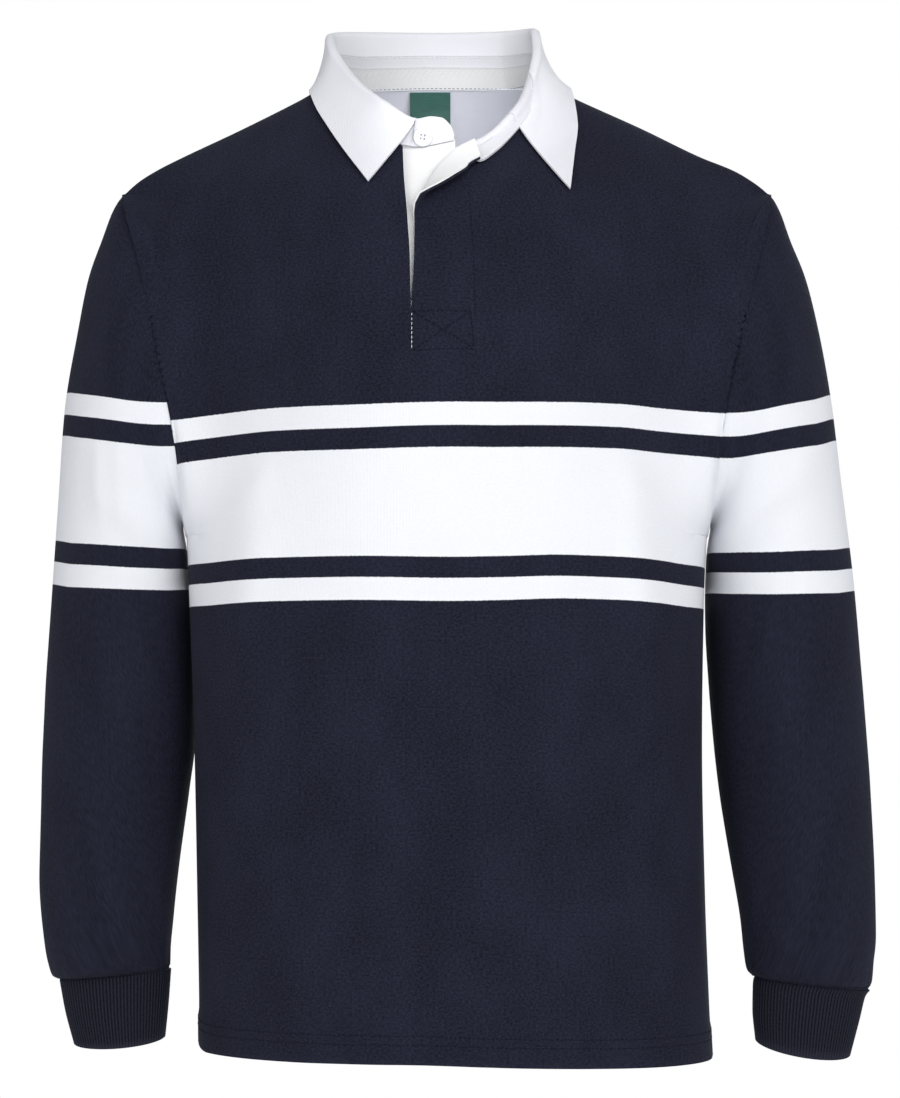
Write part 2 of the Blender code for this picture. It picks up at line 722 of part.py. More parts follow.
def collar_line(t):
    """The collar's middle surface across the neck at t, from the seam up, over the turn and down."""
    base = neck_seam(t)
    turn = np.array([read(TURN, name, t, "t") for name in "xyz"])
    rise = unit(turn - base)
    if t < LEAF_FIRST:
        return base + np.linspace(0, 1, 12)[:, None] * (turn - base)
    out = base * [1, 1, 0] - [NECK_X, NECK_Y, 0]
    out = unit(out - rise * (out @ rise))
    centre = turn - COLLAR_ROLL * rise
    psi = np.linspace(0, math.pi, 9)[:, None]
    arc = centre + COLLAR_ROLL * (np.sin(psi) * rise - np.cos(psi) * out)
    leg = base + np.linspace(0, 1, 9)[:-1, None] * (arc[0] - base)
    if t <= LEAF_LAST:
        end = np.array([read(FALL, name, t, "t") for name in "xyz"])
        lead = float(read(FALL, "lead", t, "t"))
    else:
        x, z = read(STAND_END, "x", t, "t"), read(STAND_END, "z", t, "t")
        end, lead = on_body(x, z, "front", -LEAF_CLEAR)[0], 3.0
    end = clear_of_body(end, LEAF_CLEAR)
    s = np.linspace(0, 1, 18)[1:, None]
    knee = arc[-1] - lead * rise
    fall = (1 - s) ** 2 * arc[-1] + 2 * s * (1 - s) * knee + s * s * end
    fall = np.array([clear_of_body(point, LEAF_CLEAR) for point in fall])
    return np.concatenate([leg, arc, fall])


def at_lengths(line, lengths):
    run = np.concatenate([[0], np.cumsum(np.linalg.norm(np.diff(line, axis=0), axis=1))])
    return np.stack([np.interp(lengths, run, line[:, k]) for k in range(3)], -1), run[-1]


def stand_height(t):
    return float(read(FALL, "stand", t, "t"))


def surface_normals(grid):
    """Unit normals of a collar grid, outward where the collar rises."""
    du, dv = np.gradient(grid, axis=0), np.gradient(grid, axis=1)
    return -unit(np.cross(du, dv))


def collar_grid(ts, lengths_at):
    """The collar's middle surface: for each t, points at the lengths that lengths_at gives."""
    grid = []
    for t in ts:
        line = collar_line(t)
        whole = at_lengths(line, 0)[1]
        grid.append(at_lengths(line, lengths_at(t, whole))[0])
    return np.array(grid)


def walled(grid, normal, thick, inward=0.0):
    """Outer and inner points and faces of a wall on a grid's middle surface."""
    count = grid.shape[:2]
    outer = (grid + normal * (thick / 2 - inward)).reshape(-1, 3)
    inner = (grid - normal * (thick / 2 + inward)).reshape(-1, 3)
    return outer, inner, grid_faces(numbered(*count))


def stand_points():
    """The stand, with the tab at its right end and what shows beyond the leaf at its left end."""
    def lengths(t, whole):
        top = whole if t < LEAF_FIRST or t > LEAF_LAST else stand_height(t)
        return np.linspace(STAND_LIFT, top, STAND_ROWS)

    tab = np.linspace(STAND_FIRST, LEAF_FIRST, 6)[:-1]
    end = np.linspace(LEAF_LAST, STAND_LAST, 5)[1:]
    grid = collar_grid(np.concatenate([tab, LEAF_TS, end]), lengths)
    return walled(grid, surface_normals(grid), BAND)


def leaf_points():
    """The leaf, from just under the turn to its free edge."""
    def lengths(t, whole):
        start = stand_height(t) + LEAF_START
        return start + LEAF_SHARES * (whole - start)

    grid = collar_grid(LEAF_TS, lengths)
    return walled(grid, surface_normals(grid), TWILL)


def tape_points():
    """The tape over the foot of the stand, on its inner side."""
    def lengths(t, whole):
        return np.linspace(TAPE_START, TAPE_START + TAPE_WIDTH, 4)

    grid = collar_grid(LEAF_TS[np.abs(LEAF_TS) < TAPE_REACH], lengths)
    return walled(grid, surface_normals(grid), LIGHT, BAND / 2 + SEAM + LIGHT / 2)


# ---------------------------------------------------------------- what lies on the panels


def on_facets(panel_grid, x, z, inward):
    """Points on a panel's flat facets at x and z, moved in, so that what lies on them follows closely."""
    outer, _, normal = panel_grid
    rows, columns = np.arange(outer.shape[0]), np.arange(outer.shape[1])
    found = np.zeros(x.shape + (3,))
    inward = np.broadcast_to(inward, x.shape)
    for at in np.ndindex(x.shape):
        across = [np.interp(z[at], outer[:, j, 2], outer[:, j, 0]) for j in columns]
        order = 1 if across[-1] > across[0] else -1
        j = np.interp(x[at], across[::order], columns[::order])
        j0 = min(int(j), len(columns) - 2)
        share = j - j0
        line = outer[:, j0] * (1 - share) + outer[:, j0 + 1] * share
        facing = normal[:, j0] * (1 - share) + normal[:, j0 + 1] * share
        i = np.interp(z[at], line[:, 2], rows)
        point = [np.interp(i, rows, line[:, k]) for k in range(3)]
        out = unit(np.array([np.interp(i, rows, facing[:, k]) for k in range(3)]))
        found[at] = point - out * inward[at]
    return found


def half_moon_points(back):
    """The half moon on the inner side of the back, below the neck seam."""
    drops = np.linspace(0, HALF_MOON["drop"][-1], HALF_MOON_ROWS)
    across = np.linspace(-1, 1, HALF_MOON_COLUMNS)
    x = NECK_X + read(HALF_MOON, "half", drops, "drop")[:, None] * across
    z = neck_height(x, "back") - SEAM_DROP - drops[:, None]
    depth = JERSEY + LOOSE + HALF_MOON_ENDS * across**4 * np.exp(-drops[:, None] / HALF_MOON_FADE)
    outer, inner = (on_facets(back, x, z, depth + add).reshape(-1, 3) for add in (0, LIGHT))
    return outer, inner, grid_faces(numbered(*x.shape))


def label_points(back):
    """The label, sewn in at the neck seam and hanging more steeply than the back."""
    across = np.linspace(-1, 1, LABEL_COLUMNS) * LABEL_HALF + LABEL_MIDDLE
    x, drop = np.meshgrid(across, np.linspace(0, LABEL_LONG, LABEL_ROWS))
    z = neck_height(x, "back") - SEAM_DROP - drop * LABEL_FALL
    points = on_facets(back, x, z, JERSEY + LOOSE + SEAM + LIGHT)
    top = points[0].copy()
    points[..., 1] = top[:, 1] + LABEL_SLOPE * (points[..., 1] - top[:, 1])
    du, dv = np.gradient(points, axis=0), np.gradient(points, axis=1)
    inward = unit(np.cross(du, dv))
    inward *= np.where(inward[..., 1:2] > 0, -1, 1)
    outer, inner = points, points + LABEL_THICK * inward
    return outer.reshape(-1, 3), inner.reshape(-1, 3), grid_faces(numbered(*x.shape))


def placket_levels(top):
    """Heights of the rows of a placket layer: its foot, one more, then the body's rows beside the slit."""
    rows = [v for v in body_rows() if v >= SLIT_ROW - 1e-9]
    return [BOX_Z, (BOX_Z + SLIT_Z) / 2] + [row_height(v, top, SLIT_Z) for v in rows]


def underlap_points():
    """The white under layer: behind the right edge, then one layer deeper where the facing lies on it."""
    across = np.linspace(0, 1, UNDERLAP_COLUMNS + 1)
    outer, inner = [], []
    deeper = smooth(across, np.array([0, UNDERLAP_STEP]), np.array([0.0, 1.0])) * (LIGHT + LOOSE)
    for z_edge in placket_levels(TAB_TOP):
        x = read(OPENING, "right", z_edge, "z") - UNDERLAP_HIDDEN + PLACKET_WIDTH * across
        share = (z_edge - BOX_Z) / (TAB_TOP - BOX_Z)
        z = z_edge + (neck_height(x, "tab") - SEAM_DROP - TAB_TOP) * share**FOLLOW
        for layer, add in ((outer, 0), (inner, LIGHT)):
            layer.extend(on_body(x, z, "front", JERSEY + LOOSE + deeper + add)[0])
    count = len(outer) // len(across)
    return np.array(outer), np.array(inner), grid_faces(numbered(count, len(across)))


def facing_points(front_left):
    """The white facing: from the free edge over the roll, then on along the panel's inner side."""
    shares = np.linspace(1, 0, FLAP_COLUMNS + 1)
    depth = JERSEY + SEAM
    top = OPENING["z"][-1]
    levels = placket_levels(top)
    wide = np.linspace(0, 1, FACING_COLUMNS + 1)[1:]
    outer, inner = [], []
    for z in levels:
        along = max(0.0, (z - SLIT_Z) / (top - SLIT_Z))
        width = FACING_WIDTH + (FACING_TOP - FACING_WIDTH) * along**2
        x = read(OPENING, "roll", z, "z") + width * wide
        level = z + (neck_height(x, "left") - top) * along**FOLLOW - SEAM_DROP * along
        for layer, add in ((outer, 0), (inner, LIGHT)):
            below = LOOSE - SEAM if z < SLIT_Z else SEAM * along
            layer.extend(turned(z - SEAM_DROP * along, s, depth + below + add) for s in shares)
            layer.extend(on_facets(front_left, x, level, depth + add))
    return np.array(outer), np.array(inner), grid_faces(numbered(len(levels), len(shares) + len(wide)))


# ---------------------------------------------------------------- making


def material(name, colour, roughness):
    finish = bpy.data.materials.new(name)
    finish.use_nodes = True
    shader = finish.node_tree.nodes["Principled BSDF"]
    shader.inputs["Base Color"].default_value = (*colour, 1)
    shader.inputs["Roughness"].default_value = roughness
    shader.inputs["Metallic"].default_value = 0.0
    return finish


def solid(name, points, faces, finish, smooth_angle=50):
    """An object from points in millimetres, its faces turned out."""
    used = sorted({i for face in faces for i in face})
    number = {old: new for new, old in enumerate(used)}
    points = np.asarray(points)[used]
    faces = [[number[i] for i in face] for face in faces]
    volume = 0.0
    for face in faces:
        a = points[face[0]]
        for b, c in zip(face[1:-1], face[2:]):
            volume += a @ np.cross(points[b], points[c])
    if volume < 0:
        faces = [face[::-1] for face in faces]
    mesh = bpy.data.meshes.new(name)
    mesh.from_pydata([tuple(p * MM) for p in points], [], faces)
    mesh.materials.append(finish)
    mesh.shade_smooth()
    mesh.set_sharp_from_angle(angle=math.radians(smooth_angle))
    thing = bpy.data.objects.new(name, mesh)
    bpy.context.scene.collection.objects.link(thing)
    return thing


def shell(name, outer, inner, faces, finish):
    """A closed cloth wall: outer faces, inner faces, and a strip along every free edge."""
    count = len(outer)
    kept = []
    for face in faces:
        face = [v for i, v in enumerate(face) if v != face[i - 1]]
        if len(face) > 2:
            kept.append(face)
    edges = {}
    for face in kept:
        for a, b in zip(face, face[1:] + face[:1]):
            edges[(a, b)] = edges.get((a, b), 0) + 1
    walls = [[b, a, a + count, b + count] for a, b in edges if (b, a) not in edges]
    inside = [[v + count for v in reversed(face)] for face in kept]
    return solid(name, np.concatenate([outer, inner]), kept + inside + walls, finish)


def button(finish):
    """A turned disc with a raised rim and four thread holes, flat on the collar's tab."""
    line = collar_line(BUTTON_T)
    place = at_lengths(line, BUTTON_RISE)[0]
    step = 0.01
    beside = at_lengths(collar_line(BUTTON_T + step), BUTTON_RISE)[0] - at_lengths(
        collar_line(BUTTON_T - step), BUTTON_RISE
    )[0]
    up = unit(line[-1] - line[0])
    out = unit(np.cross(beside, up))
    out *= np.where(out[1] > 0, -1, 1)
    side = unit(np.cross(up, out))
    up = np.cross(out, side)
    place = place + out * (BAND / 2 + SEAM)
    profile = (
        (BUTTON_RADIUS - BUTTON_RIM - BUTTON_BEVEL, BUTTON_THICK - BUTTON_DISH),
        (BUTTON_RADIUS - BUTTON_RIM, BUTTON_THICK),
        (BUTTON_RADIUS - BUTTON_BEVEL, BUTTON_THICK),
        (BUTTON_RADIUS, BUTTON_THICK - BUTTON_BEVEL),
        (BUTTON_RADIUS, BUTTON_BEVEL),
        (BUTTON_RADIUS - BUTTON_BEVEL, 0),
    )
    points = [
        place + radius * (math.cos(turn) * side + math.sin(turn) * up) + out * height
        for radius, height in profile
        for turn in np.linspace(0, 2 * math.pi, BUTTON_SIDES, endpoint=False)
    ]
    rings = numbered(len(profile), BUTTON_SIDES)
    faces = grid_faces(rings, closed=True) + [tuple(rings[0][::-1]), tuple(rings[-1])]
    disc = solid("button", points, faces, finish, 30)
    for k in range(HOLES):
        turn = 2 * math.pi * (k + 0.5) / HOLES
        middle = place + HOLE_RING * (math.cos(turn) * side + math.sin(turn) * up)
        ring = [
            middle + HOLE_RADIUS * (math.cos(a) * side + math.sin(a) * up) + out * h
            for h in (-1, BUTTON_THICK + 1)
            for a in np.linspace(0, 2 * math.pi, HOLE_SIDES, endpoint=False)
        ]
        ends = numbered(2, HOLE_SIDES)
        cutter = solid(f"hole_{k}", ring, grid_faces(ends, closed=True) + [ends[0][::-1], ends[1]], finish)
        cutter.hide_render = True
        cutter.display_type = "WIRE"
        cut = disc.modifiers.new(f"hole_{k}", "BOOLEAN")
        cut.operation = "DIFFERENCE"
        cut.object = cutter
    return disc


def main():
    for thing in list(bpy.data.objects):
        bpy.data.objects.remove(thing)
    navy = material("navy_jersey", (0.020, 0.022, 0.042), 0.9)
    ribbed = material("navy_rib", (0.014, 0.015, 0.026), 0.9)
    twill = material("white_twill", (0.86, 0.87, 0.92), 0.8)
    band = material("white_band", (0.84, 0.85, 0.90), 0.8)
    cream = material("cream_tape", (0.66, 0.67, 0.66), 0.85)
    pale = material("pale_facing", (0.56, 0.57, 0.64), 0.85)
    drill = material("placket_drill", (0.86, 0.86, 0.87), 0.8)
    green = material("green_satin", (0.027, 0.102, 0.086), 0.5)
    resin = material("white_resin", (0.80, 0.82, 0.88), 0.3)

    outer, inner, faces, halves = front_points()
    shell("body_front", outer, inner, faces, navy)
    rows, columns = body_rows(), back_columns()
    back = panel(back_grid(columns, rows), "back", rows, True)
    faces = grid_faces(numbered(len(rows), len(columns)))
    shell("body_back", back[0].reshape(-1, 3), back[1].reshape(-1, 3), faces, navy)
    for side in ("right", "left"):
        shell(f"sleeve_{side}", *sleeve_points(side, halves, back), navy)
        shell(f"cuff_{side}", *cuff_points(side), ribbed)
    shell("collar_stand", *stand_points(), band)
    shell("collar_leaf", *leaf_points(), twill)
    shell("neck_tape", *tape_points(), cream)
    shell("half_moon", *half_moon_points(back), pale)
    shell("label", *label_points(back), green)
    shell("placket_underlap", *underlap_points(), drill)
    shell("placket_facing", *facing_points(halves["left"]), drill)
    button(resin)


if __name__ == "__main__":
    main()
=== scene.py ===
"""A rugby shirt's sewn surface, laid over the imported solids.

Jersey panels with knitted-in hoops, ribbed cuffs, twill collar, taped neck, placket, stitching and button.
Sizes are in millimetres until a mesh is made. Right and left are the wearer's.
"""

import functools
import math

import bmesh
import bpy
import numpy as np
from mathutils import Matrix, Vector


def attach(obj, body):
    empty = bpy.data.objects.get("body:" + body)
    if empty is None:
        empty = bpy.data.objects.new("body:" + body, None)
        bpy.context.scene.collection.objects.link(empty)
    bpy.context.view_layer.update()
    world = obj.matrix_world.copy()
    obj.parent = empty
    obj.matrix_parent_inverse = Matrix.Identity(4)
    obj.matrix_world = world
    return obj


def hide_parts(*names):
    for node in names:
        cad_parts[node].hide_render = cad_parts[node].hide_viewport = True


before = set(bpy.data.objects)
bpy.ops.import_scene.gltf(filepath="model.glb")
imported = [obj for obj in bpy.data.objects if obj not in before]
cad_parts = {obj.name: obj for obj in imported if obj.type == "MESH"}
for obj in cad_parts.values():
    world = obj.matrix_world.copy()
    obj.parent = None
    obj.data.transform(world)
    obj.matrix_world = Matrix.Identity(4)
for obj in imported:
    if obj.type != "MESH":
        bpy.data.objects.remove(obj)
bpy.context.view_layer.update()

bl_info = {
    "name": "Rugby Shirt",
    "version": (1, 0, 0),
    "blender": (4, 5, 0),
    "location": "View3D > Sidebar > Shirt",
    "description": "Sews a long-sleeved rugby shirt over its solids",
    "category": "Add Mesh",
}

MM = 0.001

# Cloth walls and the gaps between pieces.
JERSEY = 1.6
RIB = 2.0
TWILL = 1.6
BAND = 2.0
LIGHT = 1.2  # tape, facings, underlap and label
SEAM = 0.3
ARMHOLE_GAP = 0.45  # from a sleeve's rim to the panels
LOOSE = 0.8  # between a flat-faced panel and a layer that follows its true curve

# Levels.
LOWEST_Z = -750.0
ARMPIT_Z = -350.0
POINT_Z = -86.0  # shoulder point
ARMHOLE_DEPTH = 60.0  # half of it, front to back
SHOULDER_ROUND = 110.0  # how far below the ridge the front reaches its full depth
BACK_ROUND = 125.0
SIDE_POWER = 2.2  # squareness of a level section
ARMHOLE_POWER = 1.2  # the same beside the armhole
SIDE_BLEND = 130.0  # height over which one squareness passes into the other
SLOPE_REACH = 0.4  # half of the step over which the panel's slope is taken
ARMHOLE_REACH = 7  # how closely the armhole's depth keeps to the armhole, more so where it is shallow

# Placket.
SLIT_X, SLIT_Z = -26.0, -192.0
SLIT_ROW = 7 / 12
BOX_Z = -221.0  # foot of the placket
PLACKET_WIDTH = 46.0
FACING_WIDTH, FACING_TOP = 46.0, 26.0
UNDERLAP_HIDDEN = 7.0
ROLL = 1.3  # radius of the turned-out edge on its inner side

# Collar.
NECK_X, NECK_Y = -9.0, -5.0
COLLAR_ROLL = 3.0
LEAF_FIRST, LEAF_LAST = -1.0, 0.85
STAND_FIRST, STAND_LAST = -1.25, 1.04
TAPE_REACH = 0.44
LEAF_CLEAR = 2.6  # from the body's outer face to the leaf's middle
FREE_LEAD = 3.0  # how straight the stand's free end leaves the turn
STAND_LIFT = 1.6  # clears the slanted cut edge of the body
LEAF_START = 0.1  # from the stand's top edge to the leaf
SEAM_DROP = 0.8  # what is sewn in under the neck seam ends this far below it

# Button.
BUTTON_RADIUS, BUTTON_THICK = 7.0, 2.6
BUTTON_DISH = 0.7  # how far its middle lies below its rim
HOLE_RADIUS, HOLE_RING = 0.9, 1.8
BUTTON_T, BUTTON_RISE = -1.06, 8.5
BUTTON_THREAD = 0.28  # its thread's radius

# Cuffs.
RIBS = 84
RIB_HEIGHT = 0.7

# Mesh: grid steps across the cloth.
# The rows above the armpit stay a multiple of twelve, so one of them meets the slit's foot.
FINE = 4
ROWS_LOW, ROWS_HIGH = 15 * FINE, 18 * FINE
HALF_STEPS = 20 * FINE
FLAP_STEPS = 5 * FINE
RING_STEPS = 28 * FINE
COLLAR_STEPS = 56 * FINE
CROWDING = 1.5  # how much closer the columns are towards the side seams
SHOULDER_SHARES = np.array([0, 0.07, 0.2, 0.4, 0.6, 0.8, 1.0])
SHOULDER_U = 0.48  # share of a half's columns that end on the shoulder seam
SHOULDER_NECK = {"right": -90.0, "left": 72.0}  # x where the shoulder seams meet the neck
CUFF_ROWS, RIB_STEPS, STAND_LINES = 6 * FINE, 6, 20
UNDERLAP_STEPS, FACING_STEPS = 30, 16
MOON_ROWS, MOON_COLUMNS = 50, 70
LABEL_ROWS, LABEL_COLUMNS = 40, 24
BUTTON_SIDES, HOLE_SIDES = 64, 20
THREAD_SIDES = 6

# Finer sewing.
HEM_DEEP, HEM_LIFT, HEM_SOFT = 24.0, 1.1, 0.8
HEM_STITCHES = (15.0, 21.5)  # heights over the edge
STITCH_SUNK, STITCH_SUNK_WIDE = 0.35, 1.6  # how far a row of stitches draws the jersey in
GATHERS, GATHER_HIGH, GATHER_LONG = 26, 0.3, 16
RUB_WIDE = 3  # how far from a seam the jersey is rubbed
CUFF_TUCK = 1.3
PLACKET_SUNK = 1.5  # width of the groove of the crossed box
MOON_ABOVE = 1.2  # how far the half moon reaches up behind the tape
EDGE_STITCH = 3.0
EDGE_SUNK, EDGE_SUNK_WIDE = 0.6, 1.3
STAND_STITCHES = (0.93, 0.985)  # shares of the stand's height
CUFF_STITCH = 4.0
LEAF_WAVE, PUFF_SHARE = 0.7, 0.35
LAYER = 0.3  # between the back panel and the half moon
TAB_TOP = -62.0
TAB_START, TAB_SUNK = (0.93, 1.05), 3.2  # where the tab leaves the panel, and how far behind it lies
PLACKET_BOX = ((-25.3, -193.0), (17.4, -193.0), (19.5, -220.5), (-24.6, -222.0))
BOX_LINES = ((0, 1), (1, 2), (2, 3), (3, 0), (0, 2), (1, 3))  # corners that a line of the crossed box joins
PLACKET_LINE, PLACKET_LINE_TOP = 46.5, -100.0
TAPE_BELOW, TAPE_ABOVE = 1.8, 16.5  # how far the tape reaches below and above the neck seam
TAB_COVER = 2.4  # how far the under layer reaches up behind the tab

# What each piece was cut from: width and length in metres, area in square metres, and how it is held.
CUTS = {
    "body_front": {"flat": (0.62, 0.74), "area": 0.355, "held": "hung", "rests_on": ["collar_stand"]},
    "body_back": {"flat": (0.62, 0.77), "area": 0.365, "held": "hung", "rests_on": ["collar_stand"]},
    "sleeve": {"flat": (0.58, 0.61), "area": 0.18, "held": "hung", "rests_on": ["body_front", "body_back"]},
    "cuff": {"flat": (0.21, 0.054), "held": "hung"},
    "collar_leaf": {"flat": (0.50, 0.085), "area": 0.027, "held": "folded", "rests_on": ["collar_stand"]},
    "collar_stand": {"flat": (0.46, 0.028), "area": 0.0095, "held": "hung"},
    "neck_tape": {"flat": (0.225, 0.014), "held": "hung", "rests_on": ["collar_stand"]},
    "half_moon": {"flat": (0.148, 0.115), "area": 0.0145, "held": "hung", "rests_on": ["body_back"]},
    "label": {"flat": (0.033, 0.042), "held": "hung", "rests_on": ["half_moon"]},
    "placket_underlap": {"flat": (0.046, 0.165), "held": "hung", "rests_on": ["body_front"]},
    "placket_facing": {"flat": (0.06, 0.175), "area": 0.0078, "held": "folded", "rests_on": ["body_front"]},
}


def table(columns, *rows):
    """A short table as one array for each named column."""
    return {name: np.array([row[i] for row in rows], float) for i, name in enumerate(columns.split())}


def tables(columns, **parts):
    """Short tables with the same columns, by name."""
    return {name: table(columns, *rows) for name, rows in parts.items()}


# Edge of the body at each level: side seam below the armpit, armhole above it.
EDGE = table(
    "z right left",
    (LOWEST_Z, -190.4, 203.8), (-700, -191, 201.5), (-625, -192.3, 198.7), (-509, -194.6, 196.4),
    (-402, -198.3, 197.8), (ARMPIT_Z, -200.5, 200), (-325, -201.5, 202), (-290, -203.5, 205),
    (-250, -208, 209), (-213, -213.5, 214), (-165, -217.5, 221), (-130, -221.5, 226.5),
    (-110, -229, 233.5), (-97, -238.5, 241), (POINT_Z, -249.5, 249),
)

# Height of the hem from side seam to side seam.
HEM = table(
    "x z",
    (-190.4, -737.5), (-180, -740.5), (-35, -740.5), (60, -743.5), (113, -745.3), (165, -747),
    (203.8, -748),
)

# Half depth of the body at its middle.
DEPTH = table(
    "z front back",
    (LOWEST_Z, 112, 108), (-625, 116, 110), (-509, 124, 115), (-402, 135, 125), (-350, 139, 129),
    (-300, 140, 132), (-250, 138, 133), (-200, 131, 132), (-150, 117, 128), (-100, 97, 118),
    (-62, 76, 106), (-30, 61, 94), (10, 50, 82),
)

# Ridge of the shoulders, and where it would run over the neck on the front and on the back.
RIDGE = table(
    "x front back",
    (-249.5, -86, -86), (-236, -75, -75), (-221, -66, -66), (-205, -58, -58), (-159, -36.5, -36.5),
    (-113, -13.5, -13.5), (-90, -1, -1), (-62, 6, 26), (-9, 13, 36), (45, 7, 26), (72, 0, 0),
    (102, -14, -14), (148.6, -35, -35), (194.8, -57, -57), (222, -68, -68), (237, -77, -77),
    (249, -86, -86),
)

# The placket's two edges: the right one, and the roll of the left one with what turns out beyond it.
OPENING = table(
    "z right roll turn length slide",
    (SLIT_Z, SLIT_X, SLIT_X + 0.1, 4, 0.6, 0), (-175, -26.6, -23.8, 6, 1, 0),
    (-150, -27.1, -22, 9, 1.6, 0), (-123, -28.8, -20.5, 20, 2.4, 0), (-112, -29.6, -18, 70, 5, 1),
    (-101, -30.6, -13, 124, 13, 4), (-86, -31.8, -5, 150, 19.5, 9), (-70, -32.6, 8.5, 162, 23, 13),
    (-60, -33, 24, 166, 20, 13),
)

# Largest folds of the body: soft ridges from their upper to their lower end, each with a hollow outside it.
FOLDS = tables(
    "x_high z_high x_low z_low width height",
    front=(
        (-136, -262, -162, -540, 17, 4.5), (130, -262, 168, -570, 15, 5),
    ),
    back=(
        (-128, -250, -150, -560, 18, 4.5), (122, -235, 158, -540, 17, 5), (-22, -330, -6, -690, 24, 3),
    ),
)

FOLD_HOLLOW, FOLD_HOLLOW_WIDE = 0.6, 1.2  # the hollow beside a fold, of its height and width

# Neck seam from the button tab (wearer's right) round the back to the free end (wearer's left).
NECK = table(
    "t x z",
    (-1.25, 5, -55.5), (-1.12, -12, -60), (-1, -27, -62), (-0.95, -33, -62), (-0.85, -48, -54),
    (-0.7, -66, -38), (-0.55, -80, -20), (-0.42, -88, -6), (-0.33, -90, -1), (-0.17, -62, 5),
    (0, -9, 8), (0.17, 45, 6), (0.33, 72, 0), (0.42, 71, -6), (0.55, 67, -20), (0.7, 60, -32),
    (0.85, 50, -41.5), (0.93, 39, -52), (1, 26, -60), (1.04, 20, -63),
)

# The seam's parts, by their first and last t.
NECK_PARTS = {"right": (-0.96, -0.32), "left": (0.32, 1.1), "back": (-0.34, 0.34), "tab": (-1.3, -0.81)}

# Top of the collar, where it turns over: the stand's own top at the tab.
TURN = table(
    "t x y z",
    (-1.25, 5.9, -66, -53), (-1.22, 2.6, -67, -46), (-1.18, -4, -68.5, -40.6), (-1.1, -12, -70, -40),
    (-1, -23, -71, -42), (-0.85, -44, -62, -28.5), (-0.7, -62, -42, -12), (-0.55, -77, -21, 8),
    (-0.42, -88, -3, 28), (-0.3, -91, 15, 41), (-0.17, -66, 42, 49), (0, -10, 56, 51.5),
    (0.17, 42, 44, 50), (0.3, 67.5, 17, 46), (0.42, 69, -4, 28), (0.55, 65, -23, 5),
    (0.7, 57, -44, -20), (0.85, 48, -57, -35), (0.93, 36, -66, -49), (1, 25, -72, -58),
    (1.04, 19, -75.5, -61),
)

# Free edge of what turns over, how straight it leaves the turn, and the height of the stand.
FALL = table(
    "t x y z lead stand",
    (-1, -58, -90, -92.5, 4, 18), (-0.85, -75.5, -70, -67, 10, 20), (-0.7, -89.5, -50, -44, 14, 22),
    (-0.55, -100.5, -28, -23, 16, 24), (-0.42, -105.5, -6, -7, 18, 26), (-0.3, -106, 26, -4, 18, 26),
    (-0.17, -78, 60, 0, 18, 26), (0, -10, 74, 2, 18, 26), (0.17, 58, 60, 1, 18, 26),
    (0.3, 85, 26, -1, 18, 26), (0.42, 94, -6, -5, 18, 26), (0.55, 97.5, -28, -25, 16, 26),
    (0.65, 98.5, -46, -42, 14, 26), (0.75, 95.5, -62, -64, 14, 26), (0.85, 91, -90, -97.5, 20, 26),
)

# Free edge of the stand beyond the leaf on the wearer's left.
STAND_END = table(
    "t x z",
    (0.85, 47, -57), (0.93, 35.5, -69.5), (0.98, 24, -77.5), (1, 19.5, -76), (1.04, 14, -77.5),
)

# Sleeves: the outer and inner point of each ring, its half depth and its middle, front to back.
SLEEVE = tables(
    "outer_x outer_z inner_x inner_z depth middle",
    right=(
        (249.5, -86, 200.5, -350, 60, 0), (257, -98, 201.2, -344, 62, 1),
        (265.5, -120, 202.8, -340, 64, 3), (276.5, -150, 203.4, -344, 66, 6),
        (286, -194, 201.2, -360, 69, 11), (295.5, -248, 199.6, -385, 70, 18),
        (302, -325, 197.6, -420, 68, 25), (308, -402, 196.2, -462, 65, 28),
        (312.6, -472, 196.6, -505, 62, 26), (315.2, -541, 200.5, -545, 59, 20),
        (315.5, -606, 206.9, -600, 55, 12), (311.2, -655, 211.3, -645, 49, 5),
        (307.6, -676, 213, -665, 44, 3), (303.4, -687, 213.3, -676.5, 36, 2),
        (296.5, -689.6, 214.6, -681.6, 25, 2),
    ),
    left=(
        (249, -86, 200, -350, 60, 0), (256, -99, 200.7, -344, 62, 1), (264, -121, 202.4, -340, 64, 3),
        (276, -150, 203, -344, 66, 6), (287.5, -194, 201, -360, 69, 10),
        (298, -248, 199.8, -385, 70, 15), (307.5, -325, 200.4, -420, 68, 18),
        (316.4, -402, 203, -462, 65, 18), (322.6, -472, 206.9, -505, 62, 16),
        (327.6, -541, 211.4, -545, 59, 12), (330, -606, 219.3, -600, 55, 8),
        (330.4, -655, 226.2, -645, 49, 4), (328.6, -676, 228.6, -668, 44, 3),
        (327.2, -691, 231, -682, 36, 2), (323.8, -697.6, 238.4, -688.6, 25, 2),
    ),
)
SLEEVE_SIGN = {"right": -1, "left": 1}

